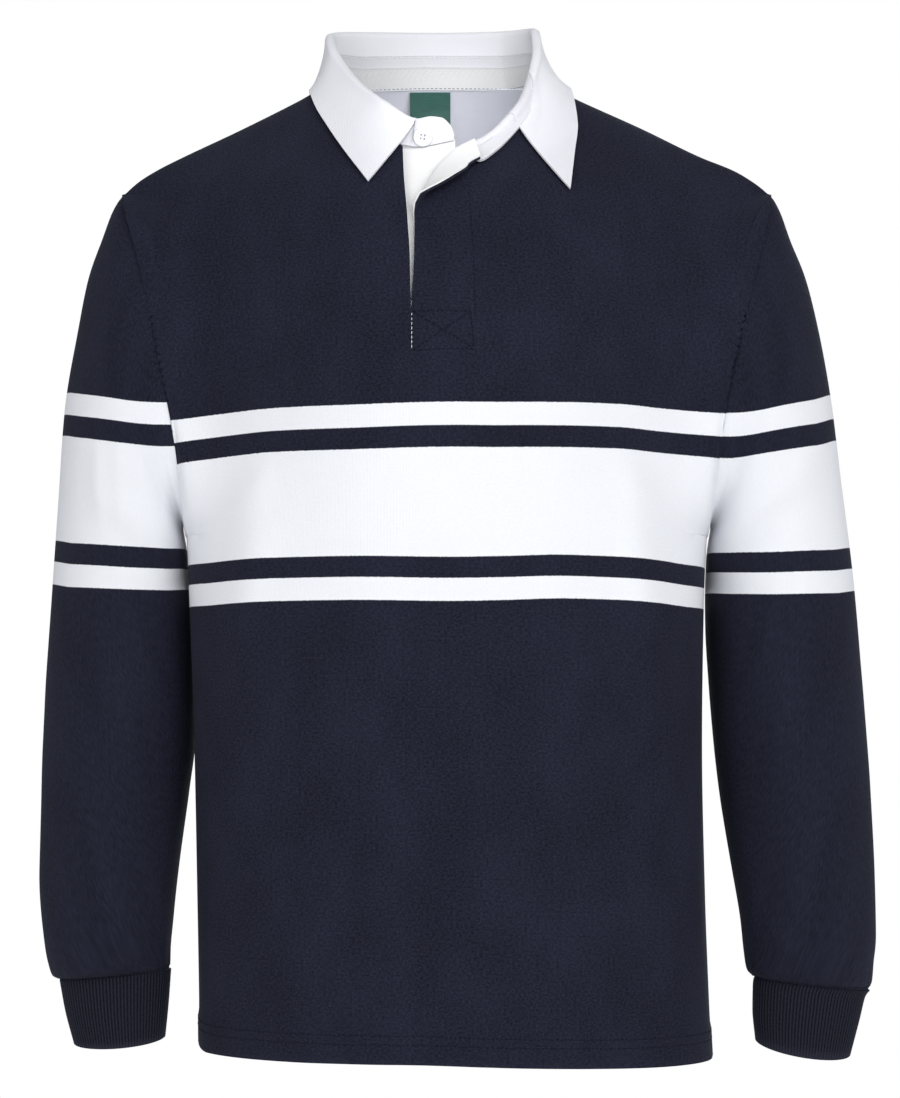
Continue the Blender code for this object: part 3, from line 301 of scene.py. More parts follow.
# Finer creases: their two ends, how far the middle bows out, half width, and height (hollows below 0).
UNEVEN, UNEVEN_SIZE, UNEVEN_LONG = 0.9, 55.0, 0.6
CREASE_HIGH, CREASE_WIDE = 0.62, 1.2  # softens all of the creases below
HOLLOW_DEEP, HOLLOW_BESIDE = 0.35, 2.1  # of a crease's height and half width
CREASES = tables(
    "x1 z1 x2 z2 bow width height",
    body_front=(
        (-196, -352, -128, -300, 8, 9, 2), (-190, -385, -118, -352, 7, 10, 1.6),
        (-172, -300, -120, -232, -6, 11, 1.6), (-150, -520, -176, -690, 5, 12, 1.8),
        (-128, -560, -138, -735, -4, 13, -1.7), (-96, -600, -104, -742, 4, 16, 1.6),
        (196, -356, 132, -306, -8, 9, 2), (190, -392, 124, -360, -7, 10, 1.6),
        (168, -300, 122, -226, 6, 11, 1.6), (172, -470, 182, -640, -5, 11, 1.7),
        (140, -560, 152, -735, 4, 13, -1.7), (104, -590, 118, -742, -4, 15, 1.5),
        (-14, -150, 10, -118, 3, 6, 1), (-60, -640, -52, -742, 3, 18, 1.2),
        (20, -620, 26, -742, -3, 20, 1.2), (-60, -250, -48, -420, -5, 26, 1.2),
        (62, -260, 54, -450, 5, 26, 1.2),
    ),
    body_back=(
        (-192, -350, -118, -292, 9, 10, 2.1), (-186, -392, -104, -350, 7, 11, 1.7),
        (-150, -210, -84, -140, 6, 15, 1.5), (-136, -560, -150, -742, 5, 15, 1.9),
        (-82, -470, -92, -742, -6, 18, 1.7), (192, -352, 116, -296, -9, 10, 2.1),
        (188, -390, 110, -356, -7, 11, 1.6), (152, -206, 80, -136, -6, 15, 1.5),
        (134, -560, 150, -742, -5, 15, 1.9), (72, -450, 86, -742, 6, 18, 1.6),
        (-40, -180, -12, -330, 6, 20, 1.4), (36, -170, 14, -320, -6, 20, 1.3),
    ),
    sleeve_right_front=(
        (-261, -268, -259, -352, 2, 5, 1.7), (-250, -268, -248, -352, -2, 5, 1.6),
        (-226, -190, -232, -236, 3, 9, -2.4), (-206, -372, -272, -318, 8, 8, 2),
        (-204, -402, -262, -372, 7, 8, 1.8), (-218, -450, -214, -640, 4, 10, -2.4),
        (-240, -470, -236, -650, -4, 12, 1.6), (-254, -676, -222, -650, 3, 6, 1.8),
        (-290, -640, -240, -668, -4, 6, 1.6), (-300, -600, -252, -630, -5, 8, 1.5),
        (-290, -420, -272, -520, 5, 12, 1.2),
    ),
    sleeve_right_back=(
        (-206, -372, -280, -312, 9, 9, 2.1), (-204, -404, -274, -364, 8, 9, 1.9),
        (-206, -440, -262, -424, 6, 9, 1.6), (-236, -470, -240, -640, 5, 12, 1.8),
        (-290, -630, -226, -662, -5, 7, 1.8), (-286, -590, -236, -624, -5, 8, 1.5),
    ),
    sleeve_left_front=(
        (200, -372, 290, -292, -9, 8, 2.6), (208, -356, 268, -314, -6, 6, 1.8),
        (258, -296, 292, -286, -2, 5, 1.5), (204, -402, 272, -366, -7, 8, 1.9),
        (228, -420, 250, -431, 2, 6, 1.7), (214, -196, 224, -236, 3, 9, -2.4),
        (230, -132, 246, -112, 2, 5, 1.2), (222, -452, 236, -650, -5, 11, -2.6),
        (252, -470, 262, -640, 5, 13, 1.6), (242, -640, 270, -676, 3, 6, 2),
        (312, -600, 262, -636, 5, 8, 1.6), (318, -648, 268, -672, 4, 6, 1.6),
        (296, -430, 292, -530, -4, 13, 1.2),
    ),
    sleeve_left_back=(
        (202, -372, 284, -306, -9, 9, 2.2), (204, -404, 276, -360, -8, 9, 1.9),
        (208, -444, 266, -420, -6, 9, 1.6), (244, -470, 256, -640, -5, 12, 1.8),
        (308, -632, 244, -664, 5, 7, 1.8), (304, -590, 250, -624, 5, 8, 1.5),
    ),
)
SEAM_DIP, SEAM_DIP_WIDTH = 0.9, 4.0
PUCKER, PUCKER_SIZE, PUCKER_LONG = 0.12, 8.0, 14

# Levels of the hoops' edges: along the cloth, and where each lies on the body and on the sleeves.
HOOPS = table(
    "along body body_left right_inner right_outer left_inner left_outer",
    (0, -258.9, -253.6, -252.8, -236.7, -264.4, -241.1),
    (16.8, -275.6, -270.7, -268, -253.2, -279.6, -259.2),
    (32.7, -291.4, -286.9, -283.4, -269.3, -294.2, -275.8),
    (113, -371, -372.4, -360.4, -352.1, -364.1, -358.6),
    (128.4, -386.2, -388, -375.8, -368.4, -379.1, -374.7),
    (145, -402.7, -403.7, -391.5, -386, -394.9, -391.8),
)

# How much higher the upper three and the lower three of those levels lie across the body and round a sleeve.
BODY_SWAY = table(
    "at upper lower",
    (-203, -6, -1), (-182, -3.9, -1.3), (-159, -2.5, -0.4), (-128, -1.4, 0.6), (-70, -1.9, 0.9),
    (0, -0.7, 0), (41, -1.6, 0.9), (87, -1.6, 2.6), (125, -1.8, 2.2), (156, -3.6, 0.7),
    (179, -4.8, -1.2), (202, -6.2, -1.9),
)
SLEEVE_SWAY = tables(
    "at upper lower",
    right=(
        (0, -1, 2), (0.15, -3.2, -0.4), (0.5, -5.3, -1.8), (0.8, -4.2, -1.6), (1, -1.5, 1.2),
    ),
    left=(
        (0, 0, 2.5), (0.15, -2, 0.4), (0.5, -3.4, -1.4), (0.8, -2.8, -1.2), (1, 1.4, 1.4),
    ),
)

# Cuffs: the same columns, from the sleeve seam down, and how far each ring dips in front.
CUFF = tables(
    "outer_x outer_z inner_x inner_z depth dip",
    right=(
        (296.5, -690, 214.6, -682, 25, 0), (292, -714, 216.5, -708, 26, 1.5),
        (285.5, -738, 219, -733.5, 25, 4),
    ),
    left=(
        (323.8, -698, 238.4, -689, 25, 0), (320.6, -702, 237.8, -693, 25.3, 0.4),
        (315.4, -722, 237.4, -713, 26, 2), (308.8, -746.5, 239.5, -736.5, 25, 5.5),
    ),
)
CUFF_MIDDLE = 2.0

# Half moon inside the back neck: half width across at each depth below the neck seam.
HALF_MOON = table("drop half", (0, 72), (30, 71), (62, 61), (84, 43), (98, 18))
HALF_MOON_ENDS = 2.5  # how much further in its two ends lie, where the shoulder bends over them
LABEL_MIDDLE, LABEL_HALF, LABEL_LONG = -13.5, 16.3, 42.0
LABEL_THICK, LABEL_SLOPE, LABEL_FALL = 1.0, 0.6, 0.8
LABEL_BEND, LABEL_WAVE = 0.7, 0.5


def smooth(at, xs, ys):
    """A cubic through the points that never overshoots them, for rising xs."""
    at = np.clip(np.asarray(at, float), xs[0], xs[-1])
    step, slope = np.diff(xs), np.diff(ys) / np.diff(xs)
    tangent = np.empty(len(xs))
    tangent[0], tangent[-1] = slope[0], slope[-1]
    before, after = 2 * step[1:] + step[:-1], step[1:] + 2 * step[:-1]
    same = slope[:-1] * slope[1:] > 0
    safe_a, safe_b = np.where(same, slope[:-1], 1), np.where(same, slope[1:], 1)
    tangent[1:-1] = np.where(same, (before + after) / (before / safe_a + after / safe_b), 0)
    i = np.clip(np.searchsorted(xs, at, side="right") - 1, 0, len(step) - 1)
    h = step[i]
    p = (at - xs[i]) / h
    return (
        ys[i] * (1 + 2 * p) * (1 - p) ** 2
        + tangent[i] * h * p * (1 - p) ** 2
        + ys[i + 1] * p * p * (3 - 2 * p)
        + tangent[i + 1] * h * p * p * (p - 1)
    )


def read(rows, column, at):
    """A column of a table at places between the values of the table's first column."""
    return smooth(at, next(iter(rows.values())), rows[column])


def unit(v):
    return v / np.maximum(np.linalg.norm(v, axis=-1, keepdims=True), 1e-9)


def hump(away, width):
    """1 where away is 0, falling to a third at that width on both sides and to nothing further out."""
    return np.exp(-((away / width) ** 2))


def eased(angle):
    """Share of the way from 0 to 1 at an angle from 0 to half a turn, slow at both ends."""
    return (1 - np.cos(angle)) / 2


def run_along(line):
    """Length from a line's first point to each of its points."""
    return np.concatenate([[0], np.cumsum(np.linalg.norm(np.diff(line, axis=0), axis=1))])


def ripple(a, b, size, seed):
    """Smooth uneven heights, about -1 to 1, over positions a and b, with bumps of about that size."""
    draws = np.random.default_rng(seed).uniform(-1, 1, (64, 64))
    a, b = np.broadcast_arrays(np.asarray(a, float) / size + 32, np.asarray(b, float) / size + 32)
    i, j = np.floor(a).astype(int), np.floor(b).astype(int)
    p, q = a - i, b - j
    p, q = p * p * (3 - 2 * p), q * q * (3 - 2 * q)
    low = draws[i % 64, j % 64] * (1 - p) + draws[(i + 1) % 64, j % 64] * p
    high = draws[i % 64, (j + 1) % 64] * (1 - p) + draws[(i + 1) % 64, (j + 1) % 64] * p
    return low * (1 - q) + high * q


def creased(where, x, z):
    """Height of the finer creases of one side of a piece, with a gentle unevenness between them."""
    x, z = np.asarray(x, float), np.asarray(z, float)
    height = UNEVEN * ripple(x, z * UNEVEN_LONG, UNEVEN_SIZE, len(where))
    for x1, z1, x2, z2, bow, width, most in zip(*CREASES[where].values()):
        long = math.hypot(x2 - x1, z2 - z1)
        ux, uz = (x2 - x1) / long, (z2 - z1) / long
        down = ((x - x1) * ux + (z - z1) * uz) / long
        inside = np.clip(down, 0, 1)
        away = (x - x1) * uz - (z - z1) * ux - bow * 4 * inside * (1 - inside)
        ends = np.sin(math.pi * inside) ** 0.7
        near = away / (CREASE_WIDE * width * (0.55 + 0.45 * ends))
        beside = HOLLOW_BESIDE
        ridge = hump(near, 1) - HOLLOW_DEEP * hump(near - beside, 1) - HOLLOW_DEEP * hump(near + beside, 1)
        height = height + CREASE_HIGH * most * ridge * ends
    return height


# ---------------------------------------------------------------- body


def armhole_depth(z):
    middle, half = (POINT_Z + ARMPIT_Z) / 2, (POINT_Z - ARMPIT_Z) / 2
    return ARMHOLE_DEPTH * np.sqrt(np.clip(1 - ((z - middle) / half) ** 2, 0, 1))


def fold_height(x, z, which):
    """How far the largest folds stand out of the body's plain form."""
    height = 0.0
    for x_high, z_high, x_low, z_low, width, most in zip(*FOLDS[which].values()):
        down = np.clip((z_high - z) / (z_high - z_low), 0, 1)
        away = (x - x_high - (x_low - x_high) * down) * np.sign(x_low)
        ridge = hump(away, width) - FOLD_HOLLOW * hump(away / width / FOLD_HOLLOW_WIDE - 2, 1)
        height = height + most * ridge * np.sin(math.pi * down) ** 0.8
    return height


def body_depth(x, z, which):
    """Distance of the cloth's outer face from the plane of the side seams, for which = front or back."""
    x, z = np.asarray(x, float), np.asarray(z, float)
    edge = np.where(x < 0, -read(EDGE, "right", z), read(EDGE, "left", z))
    across = np.clip(np.abs(x) / edge, 0, 1)
    rounding = SHOULDER_ROUND if which == "front" else BACK_ROUND
    below = np.clip((read(RIDGE, which, x) - z) / rounding, 0, 1)
    full = read(DEPTH, which, z) * np.sqrt(1 - (1 - below) ** 2)
    above = np.clip((z - ARMPIT_Z) / SIDE_BLEND + 0.3, 0, 1)
    power = SIDE_POWER + (ARMHOLE_POWER - SIDE_POWER) * above * above * (3 - 2 * above)
    share = (1 - across**SIDE_POWER) ** (1 / power)
    relief = fold_height(x, z, which) + creased("body_" + which, x, z)
    hollow = armhole_depth(z)
    reach = ARMHOLE_REACH / np.clip(hollow / ARMHOLE_DEPTH, 0.2, 1)
    return full * share + hollow * across**reach + relief * (1 - across**8)


def on_body(x, z, which, inward=0.0):
    """Points of a body panel, moved inward from its outer face along its normal."""
    x, z = np.broadcast_arrays(np.asarray(x, float), np.asarray(z, float))
    sign, reach = (-1 if which == "front" else 1), SLOPE_REACH
    depth = body_depth(x, z, which)
    dx = (body_depth(x + reach, z, which) - body_depth(x - reach, z, which)) / (2 * reach)
    dz = (body_depth(x, z + reach, which) - body_depth(x, z - reach, which)) / (2 * reach)
    normal = unit(np.stack([-dx, np.full_like(dx, sign), -dz], -1))
    points = np.stack([x, sign * (depth + SEAM / 2), z], -1)
    return points - normal * np.asarray(inward)[..., None], normal


def neck_height(x, part):
    """Height of the neck seam over x: on one half of the front, on the back, or on the tab."""
    first, last = NECK_PARTS[part]
    rows = (NECK["t"] >= first) & (NECK["t"] <= last)
    xs, zs = NECK["x"][rows], NECK["z"][rows]
    order = np.argsort(xs)
    return smooth(x, xs[order], zs[order])


def rise_of(v):
    """Share of the way from the armpit to the top edge at grid line v (-1 hem, 0 armpit, 1 top)."""
    return (1 - math.cos(math.pi * max(v, 0.0))) / 2


EDGE_SLIT_Z = ARMPIT_Z + (POINT_Z - ARMPIT_Z) * rise_of(SLIT_ROW)


def row_height(v, top, slit_level, hem=LOWEST_Z):
    """Height of grid line v in a column from hem to top that passes the placket's foot at slit_level."""
    rise, at_slit = eased(math.pi * np.maximum(v, 0)), rise_of(SLIT_ROW)
    low = ARMPIT_Z + (slit_level - ARMPIT_Z) * rise / at_slit
    high = slit_level + (top - slit_level) * (rise - at_slit) / (1 - at_slit)
    return np.where(v <= 0, ARMPIT_Z + v * (ARMPIT_Z - hem), np.where(rise <= at_slit, low, high))


def body_rows():
    """Grid lines from the hem (-1) past the armpit (0) to the top edge (1)."""
    low = np.linspace(-1, 0, ROWS_LOW + 1)[:-1]
    return np.concatenate([low, np.linspace(0, 1, ROWS_HIGH + 1)])


def shoulder_xs(side, u):
    """Where columns meet the shoulder seam, for shares u of the way from the shoulder point to the neck."""
    point = EDGE[side][-1]
    share = np.interp(u, np.linspace(0, 1, len(SHOULDER_SHARES)), SHOULDER_SHARES)
    return point + (SHOULDER_NECK[side] - point) * share


def half_grid(side, which):
    """x and z of half a panel, from its armhole (column 0) to its placket or its centre back."""
    u = np.linspace(0, 1, HALF_STEPS + 1)
    u[np.abs(u - SHOULDER_U).argmin()] = SHOULDER_U
    c, v = u**CROWDING, body_rows()[:, None]
    on_shoulder = u <= SHOULDER_U + 1e-9
    edge_name = "right" if side == "right" else "roll"
    centre = (SHOULDER_NECK["left"] + SHOULDER_NECK["right"]) / 2
    middle = OPENING[edge_name][-1] if which == "front" else centre
    over = shoulder_xs(side, np.minimum(u / SHOULDER_U, 1))
    tops = over + (middle - SHOULDER_NECK[side]) * np.clip((u - SHOULDER_U) / (1 - SHOULDER_U), 0, 1)
    neck = neck_height(tops, side if which == "front" else "back")
    top = np.where(on_shoulder, read(RIDGE, which, tops), neck)
    slit_level = EDGE_SLIT_Z + (SLIT_Z - EDGE_SLIT_Z) * c if which == "front" else EDGE_SLIT_Z
    ends = [EDGE[side][0], SLIT_X if which == "front" else (EDGE["right"][0] + EDGE["left"][0]) / 2]
    z = row_height(v, top, slit_level, read(HEM, "z", ends[0] + (ends[1] - ends[0]) * c))
    outer = read(EDGE, side, z)
    if which == "front":
        inner = np.where(v > SLIT_ROW, read(OPENING, edge_name, z), SLIT_X)
    else:
        inner = (read(EDGE, "right", z) + read(EDGE, "left", z)) / 2
    x = outer + (inner - outer) * c
    bend = eased(math.pi * np.maximum(v, 0)) ** 3 * ((c > 0) & (c < 1))
    return np.stack([x + (tops - x) * bend, z], -1), on_shoulder


def panel(side, which):
    """Outer points and normals of half a panel. Its cut edges face across the side and shoulder seams."""
    grid, on_shoulder = half_grid(side, which)
    outer, normal = on_body(grid[..., 0], grid[..., 1], which)
    normal[body_rows() <= 0, 0, 1] = 0
    normal[-1, on_shoulder, 1] = 0
    return outer, unit(normal)


@functools.lru_cache(maxsize=None)
def roll_frame(z):
    """A point of the turned-out edge's roll, the direction away from the panel there and the way out."""
    step = 0.5
    x = read(OPENING, "roll", z)
    point, out = on_body(x, z, "front")
    at = min(z, OPENING["z"][-1] - step)
    low, _ = on_body(read(OPENING, "roll", at - step), at - step, "front")
    high, _ = on_body(read(OPENING, "roll", at + step), at + step, "front")
    along = unit(high - low)
    away = unit(np.cross(out, along))
    return point, away * np.where(away[0] > 0, -1, 1), out, along


def turned(z, share, inward=0.0):
    """A point of the turned-out edge: share runs from the roll line (0) to the free edge (1)."""
    point, away, out, along = roll_frame(float(z))
    turn = math.radians(float(read(OPENING, "turn", z)))
    length = float(read(OPENING, "length", z))
    arc = ROLL * turn
    at = share * (arc + length)
    angle = min(at / ROLL, turn)
    rest = max(at - arc, 0.0)
    across, up = math.sin(angle) * away + (1 - math.cos(angle)) * out, math.cos(angle) * out
    heading = math.cos(angle) * away + math.sin(angle) * out
    facing = up - math.sin(angle) * away
    slid = float(read(OPENING, "slide", z)) * share
    return point + ROLL * across + rest * heading - slid * along - inward * facing


def grid_faces(index, closed=False):
    """Quads of a grid of vertex numbers, with columns joined round if closed."""
    index = np.asarray(index)
    if closed:
        index = np.concatenate([index, index[:, :1]], 1)
    return np.stack([index[:-1, :-1], index[:-1, 1:], index[1:, 1:], index[1:, :-1]], -1).reshape(-1, 4)


def numbered(rows, columns, first=0):
    return first + np.arange(rows * columns).reshape(rows, columns)


# ---------------------------------------------------------------- sleeves and cuffs


def sleeve_surface(side, ring, angle):
    """A point of the sleeve: ring counts table rows, angle goes from the underarm forward over the top."""
    rows = SLEEVE[side]
    at = {name: smooth(ring, np.arange(len(rows["depth"])), rows[name]) for name in rows}
    over = eased(angle)
    x = at["inner_x"] + (at["outer_x"] - at["inner_x"]) * over
    z = at["inner_z"] + (at["outer_z"] - at["inner_z"]) * over
    armhole_z = ARMPIT_Z + (POINT_Z - ARMPIT_Z) * over
    seam = np.abs(read(EDGE, side, armhole_z))
    straight = rows["inner_x"][0] + (rows["outer_x"][0] - rows["inner_x"][0]) * over
    x = x + (seam - straight) * np.clip(1 - ring / 3, 0, 1) ** 2
    y = at["middle"] - at["depth"] * np.sin(angle)
    return np.stack([SLEEVE_SIGN[side] * x, y, z + 0 * x], -1)


def sleeve_normal(side, ring, angle):
    step = 0.02
    last = len(SLEEVE[side]["depth"]) - 1
    above = sleeve_surface(side, np.maximum(ring - step, 0), angle)
    below = sleeve_surface(side, np.minimum(ring + step, last), angle)
    round_ = sleeve_surface(side, ring, angle + step) - sleeve_surface(side, ring, angle - step)
    return unit(np.cross(below - above, round_)) * SLEEVE_SIGN[side]


def armhole_loop(side):
    """Outer points of the armhole, from the underarm forward and over, moved off the seam."""
    front, behind = (panel(side, which)[0][ROWS_LOW:, 0] for which in ("front", "back"))
    loop = np.concatenate([front, behind[-2:0:-1]])
    normal = np.concatenate([panel(side, which)[1][ROWS_LOW:, 0] for which in ("front", "back")])
    normal = np.concatenate([normal[: ROWS_HIGH + 1], normal[-2:ROWS_HIGH + 1:-1]])
    loop[0, 1] = loop[ROWS_HIGH, 1] = 0
    tangent = unit(np.roll(loop, -1, 0) - np.roll(loop, 1, 0))
    off = unit(np.cross(normal, tangent))
    off *= np.where((off[ROWS_HIGH] * [SLEEVE_SIGN[side], 0, 0]).sum() > 0, 1, -1)
    return loop + ARMHOLE_GAP * off


def sleeve_grid(side):
    """Outer points and normals of a sleeve: rings from the armhole to the cuff seam, columns round it."""
    angles = np.linspace(0, 2 * math.pi, 2 * ROWS_HIGH + 1)[:-1]
    rings = np.linspace(0, len(SLEEVE[side]["depth"]) - 1, RING_STEPS + 1)[:, None]
    points = sleeve_surface(side, rings, angles)
    normal = sleeve_normal(side, rings, angles)
    near = np.clip(1 - rings, 0, 1)[..., None] ** 2
    points = points + near * (armhole_loop(side) - points[0])
    return points, normal


def in_ring_plane(points):
    """Outward directions of a ring's points that stay in its plane."""
    tangent = unit(np.roll(points, -1, 0) - np.roll(points, 1, 0))
    centre = points.mean(0)
    axis = unit(np.cross(tangent, points - centre).sum(0))
    return unit(np.cross(axis, tangent) * -1)


# ---------------------------------------------------------------- collar


def neck_seam(t):
    """A point of the neck seam, at the middle of the body's wall."""
    x, z = read(NECK, "x", t), read(NECK, "z", t)
    which = "back" if abs(t) < 0.33 else "front"
    deeper = float(smooth(-t, np.array(TAB_START), np.array([0.0, TAB_SUNK])))
    return on_body(x, z, which, JERSEY / 2 + deeper)[0]


def clear_of_body(point, gap):
    """The point, moved forward or back until it is this far outside the body."""
    x, y, z = point
    which, sign = ("front", -1) if y < 0 else ("back", 1)
    if z - gap > read(RIDGE, which, x):
        return point
    least = float(body_depth(x, z - gap, which)) + gap
    return np.array([x, sign * max(sign * y, least), z])


@functools.lru_cache(maxsize=None)
def collar_line(t):
    """Dense points of the collar's middle surface at t: from the seam up, over the turn and down."""
    base = neck_seam(t)
    turn = np.array([read(TURN, name, t) for name in "xyz"])
    rise = unit(turn - base)
    if t < LEAF_FIRST:
        return base + np.linspace(0, 1, 12)[:, None] * (turn - base)
    out = base * [1, 1, 0] - [NECK_X, NECK_Y, 0]
    out = unit(out - rise * (out @ rise))
    centre = turn - COLLAR_ROLL * rise
    psi = np.linspace(0, math.pi, 9)[:, None]
    arc = centre + COLLAR_ROLL * (np.sin(psi) * rise - np.cos(psi) * out)
    leg = base + np.linspace(0, 1, 9)[:-1, None] * (arc[0] - base)
    if t <= LEAF_LAST:
        end = np.array([read(FALL, name, t) for name in "xyz"])
        lead = float(read(FALL, "lead", t))
    else:
        x, z = read(STAND_END, "x", t), read(STAND_END, "z", t)
        end, lead = on_body(x, z, "front", -LEAF_CLEAR)[0], FREE_LEAD
    end = clear_of_body(end, LEAF_CLEAR)
    s = np.linspace(0, 1, 18)[1:, None]
    knee = arc[-1] - lead * rise
    fall = (1 - s) ** 2 * arc[-1] + 2 * s * (1 - s) * knee + s * s * end
    fall = np.array([clear_of_body(point, LEAF_CLEAR) for point in fall])
    return np.concatenate([leg, arc, fall])


def at_lengths(line, lengths):
    run = run_along(line)
    return np.stack([np.interp(lengths, run, line[:, k]) for k in range(3)], -1), run[-1]


def stand_height(t):
    return float(read(FALL, "stand", t))


def surface_normals(grid):
    """Unit normals of a collar grid, outward where the collar rises."""
    du, dv = np.gradient(grid, axis=0), np.gradient(grid, axis=1)
    return -unit(np.cross(du, dv))


def collar_grid(ts, lengths_at):
    """The collar's middle surface: at each t, points at the lengths that lengths_at(t, whole) gives."""
    grid = []
    for t in ts:
        line = collar_line(t)
        whole = at_lengths(line, 0)[1]
        grid.append(at_lengths(line, lengths_at(t, whole))[0])
    return np.array(grid)


def cuff_grid(side):
    """Outer and inner points of a ribbed cuff, from the sleeve seam down, and how high its ribs stand."""
    rows = CUFF[side]
    levels = np.linspace(0, len(rows["depth"]) - 1, CUFF_ROWS + 1)[:, None]
    at = {name: smooth(levels, np.arange(len(rows["depth"])), rows[name]) for name in rows}
    count = RIBS * RIB_STEPS
    angles = even_angles((rows["outer_x"][1] - rows["inner_x"][1]) / 2, rows["depth"][1], count)
    over = eased(angles)
    x = SLEEVE_SIGN[side] * (at["inner_x"] + (at["outer_x"] - at["inner_x"]) * over)
    z = at["inner_z"] + (at["outer_z"] - at["inner_z"]) * over
    points = np.stack([x, CUFF_MIDDLE - at["depth"] * np.sin(angles), z - at["dip"] * np.sin(angles)], -1)
    out = np.array([in_ring_plane(ring) for ring in points])
    rib = (1 + np.cos(2 * math.pi * np.arange(count) / RIB_STEPS)) / 2 + 0 * levels
    lean = RIB_HEIGHT * ripple(angles * 30, levels * 12, 5, 7) * 0.25
    share = levels / levels[-1]
    flat = 1 - 0.6 * hump(share, 0.05) - 0.5 * hump(1 - share, 0.04)
    tucked = CUFF_TUCK * hump(1 - share, 0.05)
    raised = (RIB_HEIGHT * rib**0.8 * flat + lean - tucked)[..., None]
    return points + out * raised, points - out * RIB, rib


def even_angles(half_width, half_depth, count):
    """Angles that part an ellipse into steps of even length."""
    fine = np.linspace(0, 2 * math.pi, 721)
    steps = np.hypot(half_width * np.diff(np.cos(fine)), half_depth * np.diff(np.sin(fine)))
    run = np.concatenate([[0], np.cumsum(steps)])
    return np.interp(np.linspace(0, run[-1], count, endpoint=False), run, fine)


# ---------------------------------------------------------------- walls of cloth


def arcs(grid, middle):
    """Lengths along a grid's rows from its middle column, and up its columns from the first row."""
    across = np.linalg.norm(np.diff(grid, axis=1), axis=-1)
    across = np.concatenate([np.zeros((len(grid), 1)), np.cumsum(across, 1)], 1)
    up = np.linalg.norm(np.diff(grid, axis=0), axis=-1)
    up = np.concatenate([np.zeros((1, grid.shape[1])), np.cumsum(up, 0)], 0)
    return np.stack([across - across[:, [middle]], up], -1) * MM


def patch(outer, inner, closed=False, middle=0, **marks):
    """A grid of cloth: both its faces, its knit's coordinates, and marks for hoops, ribs and rubbing."""
    made = {"outer": outer, "inner": inner}
    made.update({name: mark + np.zeros(outer.shape[:2]) for name, mark in marks.items()})
    if closed:
        made = {name: np.concatenate([grid, grid[:, :1]], 1) for name, grid in made.items()}
    made["knit"] = arcs(made["outer"], middle)
    return made


def flat_list(patches, name):
    return np.concatenate([p[name].reshape(-1, *p[name].shape[2:]) for p in patches])


def cloth(name, patches, finish):
    """A closed wall of patches that share their seams' points: both faces, and a strip round each edge."""
    outer, inner, knit = (flat_list(patches, key) for key in ("outer", "inner", "knit"))
    sizes = [p["outer"].shape[:2] for p in patches]
    firsts = np.cumsum([0] + [rows * columns for rows, columns in sizes])
    faces = np.concatenate([grid_faces(numbered(*size, first)) for size, first in zip(sizes, firsts)])
    _, kept, weld = np.unique(np.round(outer, 3), axis=0, return_index=True, return_inverse=True)
    weld = weld.reshape(-1)
    count = len(kept)
    corner = weld[faces]
    follows = np.roll(corner, -1, 1)
    free = ~np.isin(corner * count + follows, follows * count + corner)
    a, b = corner[free], follows[free]
    knit_a, knit_b = knit[faces][free], knit[np.roll(faces, -1, 1)][free]
    quads = np.concatenate([corner, corner[:, ::-1] + count, np.stack([b, a, a + count, b + count], -1)])
    laid = np.concatenate([knit[faces], knit[faces][:, ::-1], np.stack([knit_b, knit_a, knit_a, knit_b], 1)])
    points = np.concatenate([outer[kept], inner[kept]]) * MM
    if np.einsum("ij,ij->", points[corner[:, 0]], np.cross(points[corner[:, 1]], points[corner[:, 2]])) < 0:
        quads, laid = quads[:, ::-1], laid[:, ::-1]
    names = [name for name in patches[0] if name not in ("outer", "inner", "knit")]
    marks = {mark: np.tile(flat_list(patches, mark)[kept], 2) for mark in names}
    return sewn(name, points, quads, finish, laid, marks)


def sewn(name, points, faces, finish, laid=None, marks=None, sharp=40):
    """An object from points in metres, riding on the shirt's one body."""
    mesh = bpy.data.meshes.new(name)
    mesh.from_pydata(points.tolist(), [], faces.tolist())
    if laid is not None:
        mesh.uv_layers.new(name="knit").data.foreach_set("uv", laid.astype(np.float32).ravel())
    for key, values in (marks or {}).items():
        mesh.attributes.new(key, "FLOAT", "POINT").data.foreach_set("value", values.astype(np.float32))
    mesh.materials.append(finish)
    mesh.shade_smooth()
    mesh.set_sharp_from_angle(angle=math.radians(sharp))
    thing = bpy.data.objects.new(name, mesh)
    bpy.context.scene.collection.objects.link(thing)
    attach(thing, "root")
    return thing


# ---------------------------------------------------------------- the shirt's pieces


def hoop_mark(z, names, share, sway, at):
    """How far down the hoops a point lies, from levels that pass between two named columns and sway."""
    levels = HOOPS[names[0]] + (HOOPS[names[1]] - HOOPS[names[0]]) * np.asarray(share)[..., None]
    upper, lower = read(sway, "upper", at), read(sway, "lower", at)
    levels = levels + np.stack([upper] * 3 + [lower] * 3, -1)
    along = HOOPS["along"]
    mark = np.zeros(z.shape)
    for k in range(len(along) - 1):
        share = (levels[..., k] - z) / (levels[..., k] - levels[..., k + 1])
        here = along[k] + (along[k + 1] - along[k]) * share
        mark = here if k == 0 else np.where(z <= levels[..., k], here, mark)
    return mark


def placket_groove(x, z):
    """How deep the crossed box and the line above it are sewn in at a point, from 0 to 1."""
    deep = np.zeros(np.shape(x))
    for a, b in BOX_LINES:
        start, end = np.array(PLACKET_BOX[a]), np.array(PLACKET_BOX[b])
        along = unit(end - start)
        run = (x - start[0]) * along[0] + (z - start[1]) * along[1]
        away = (x - start[0]) * along[1] - (z - start[1]) * along[0]
        beyond = np.maximum(np.maximum(-run, run - np.linalg.norm(end - start)), 0)
        deep = np.maximum(deep, np.exp(-((away**2 + beyond**2) / PLACKET_SUNK**2)))
    return deep


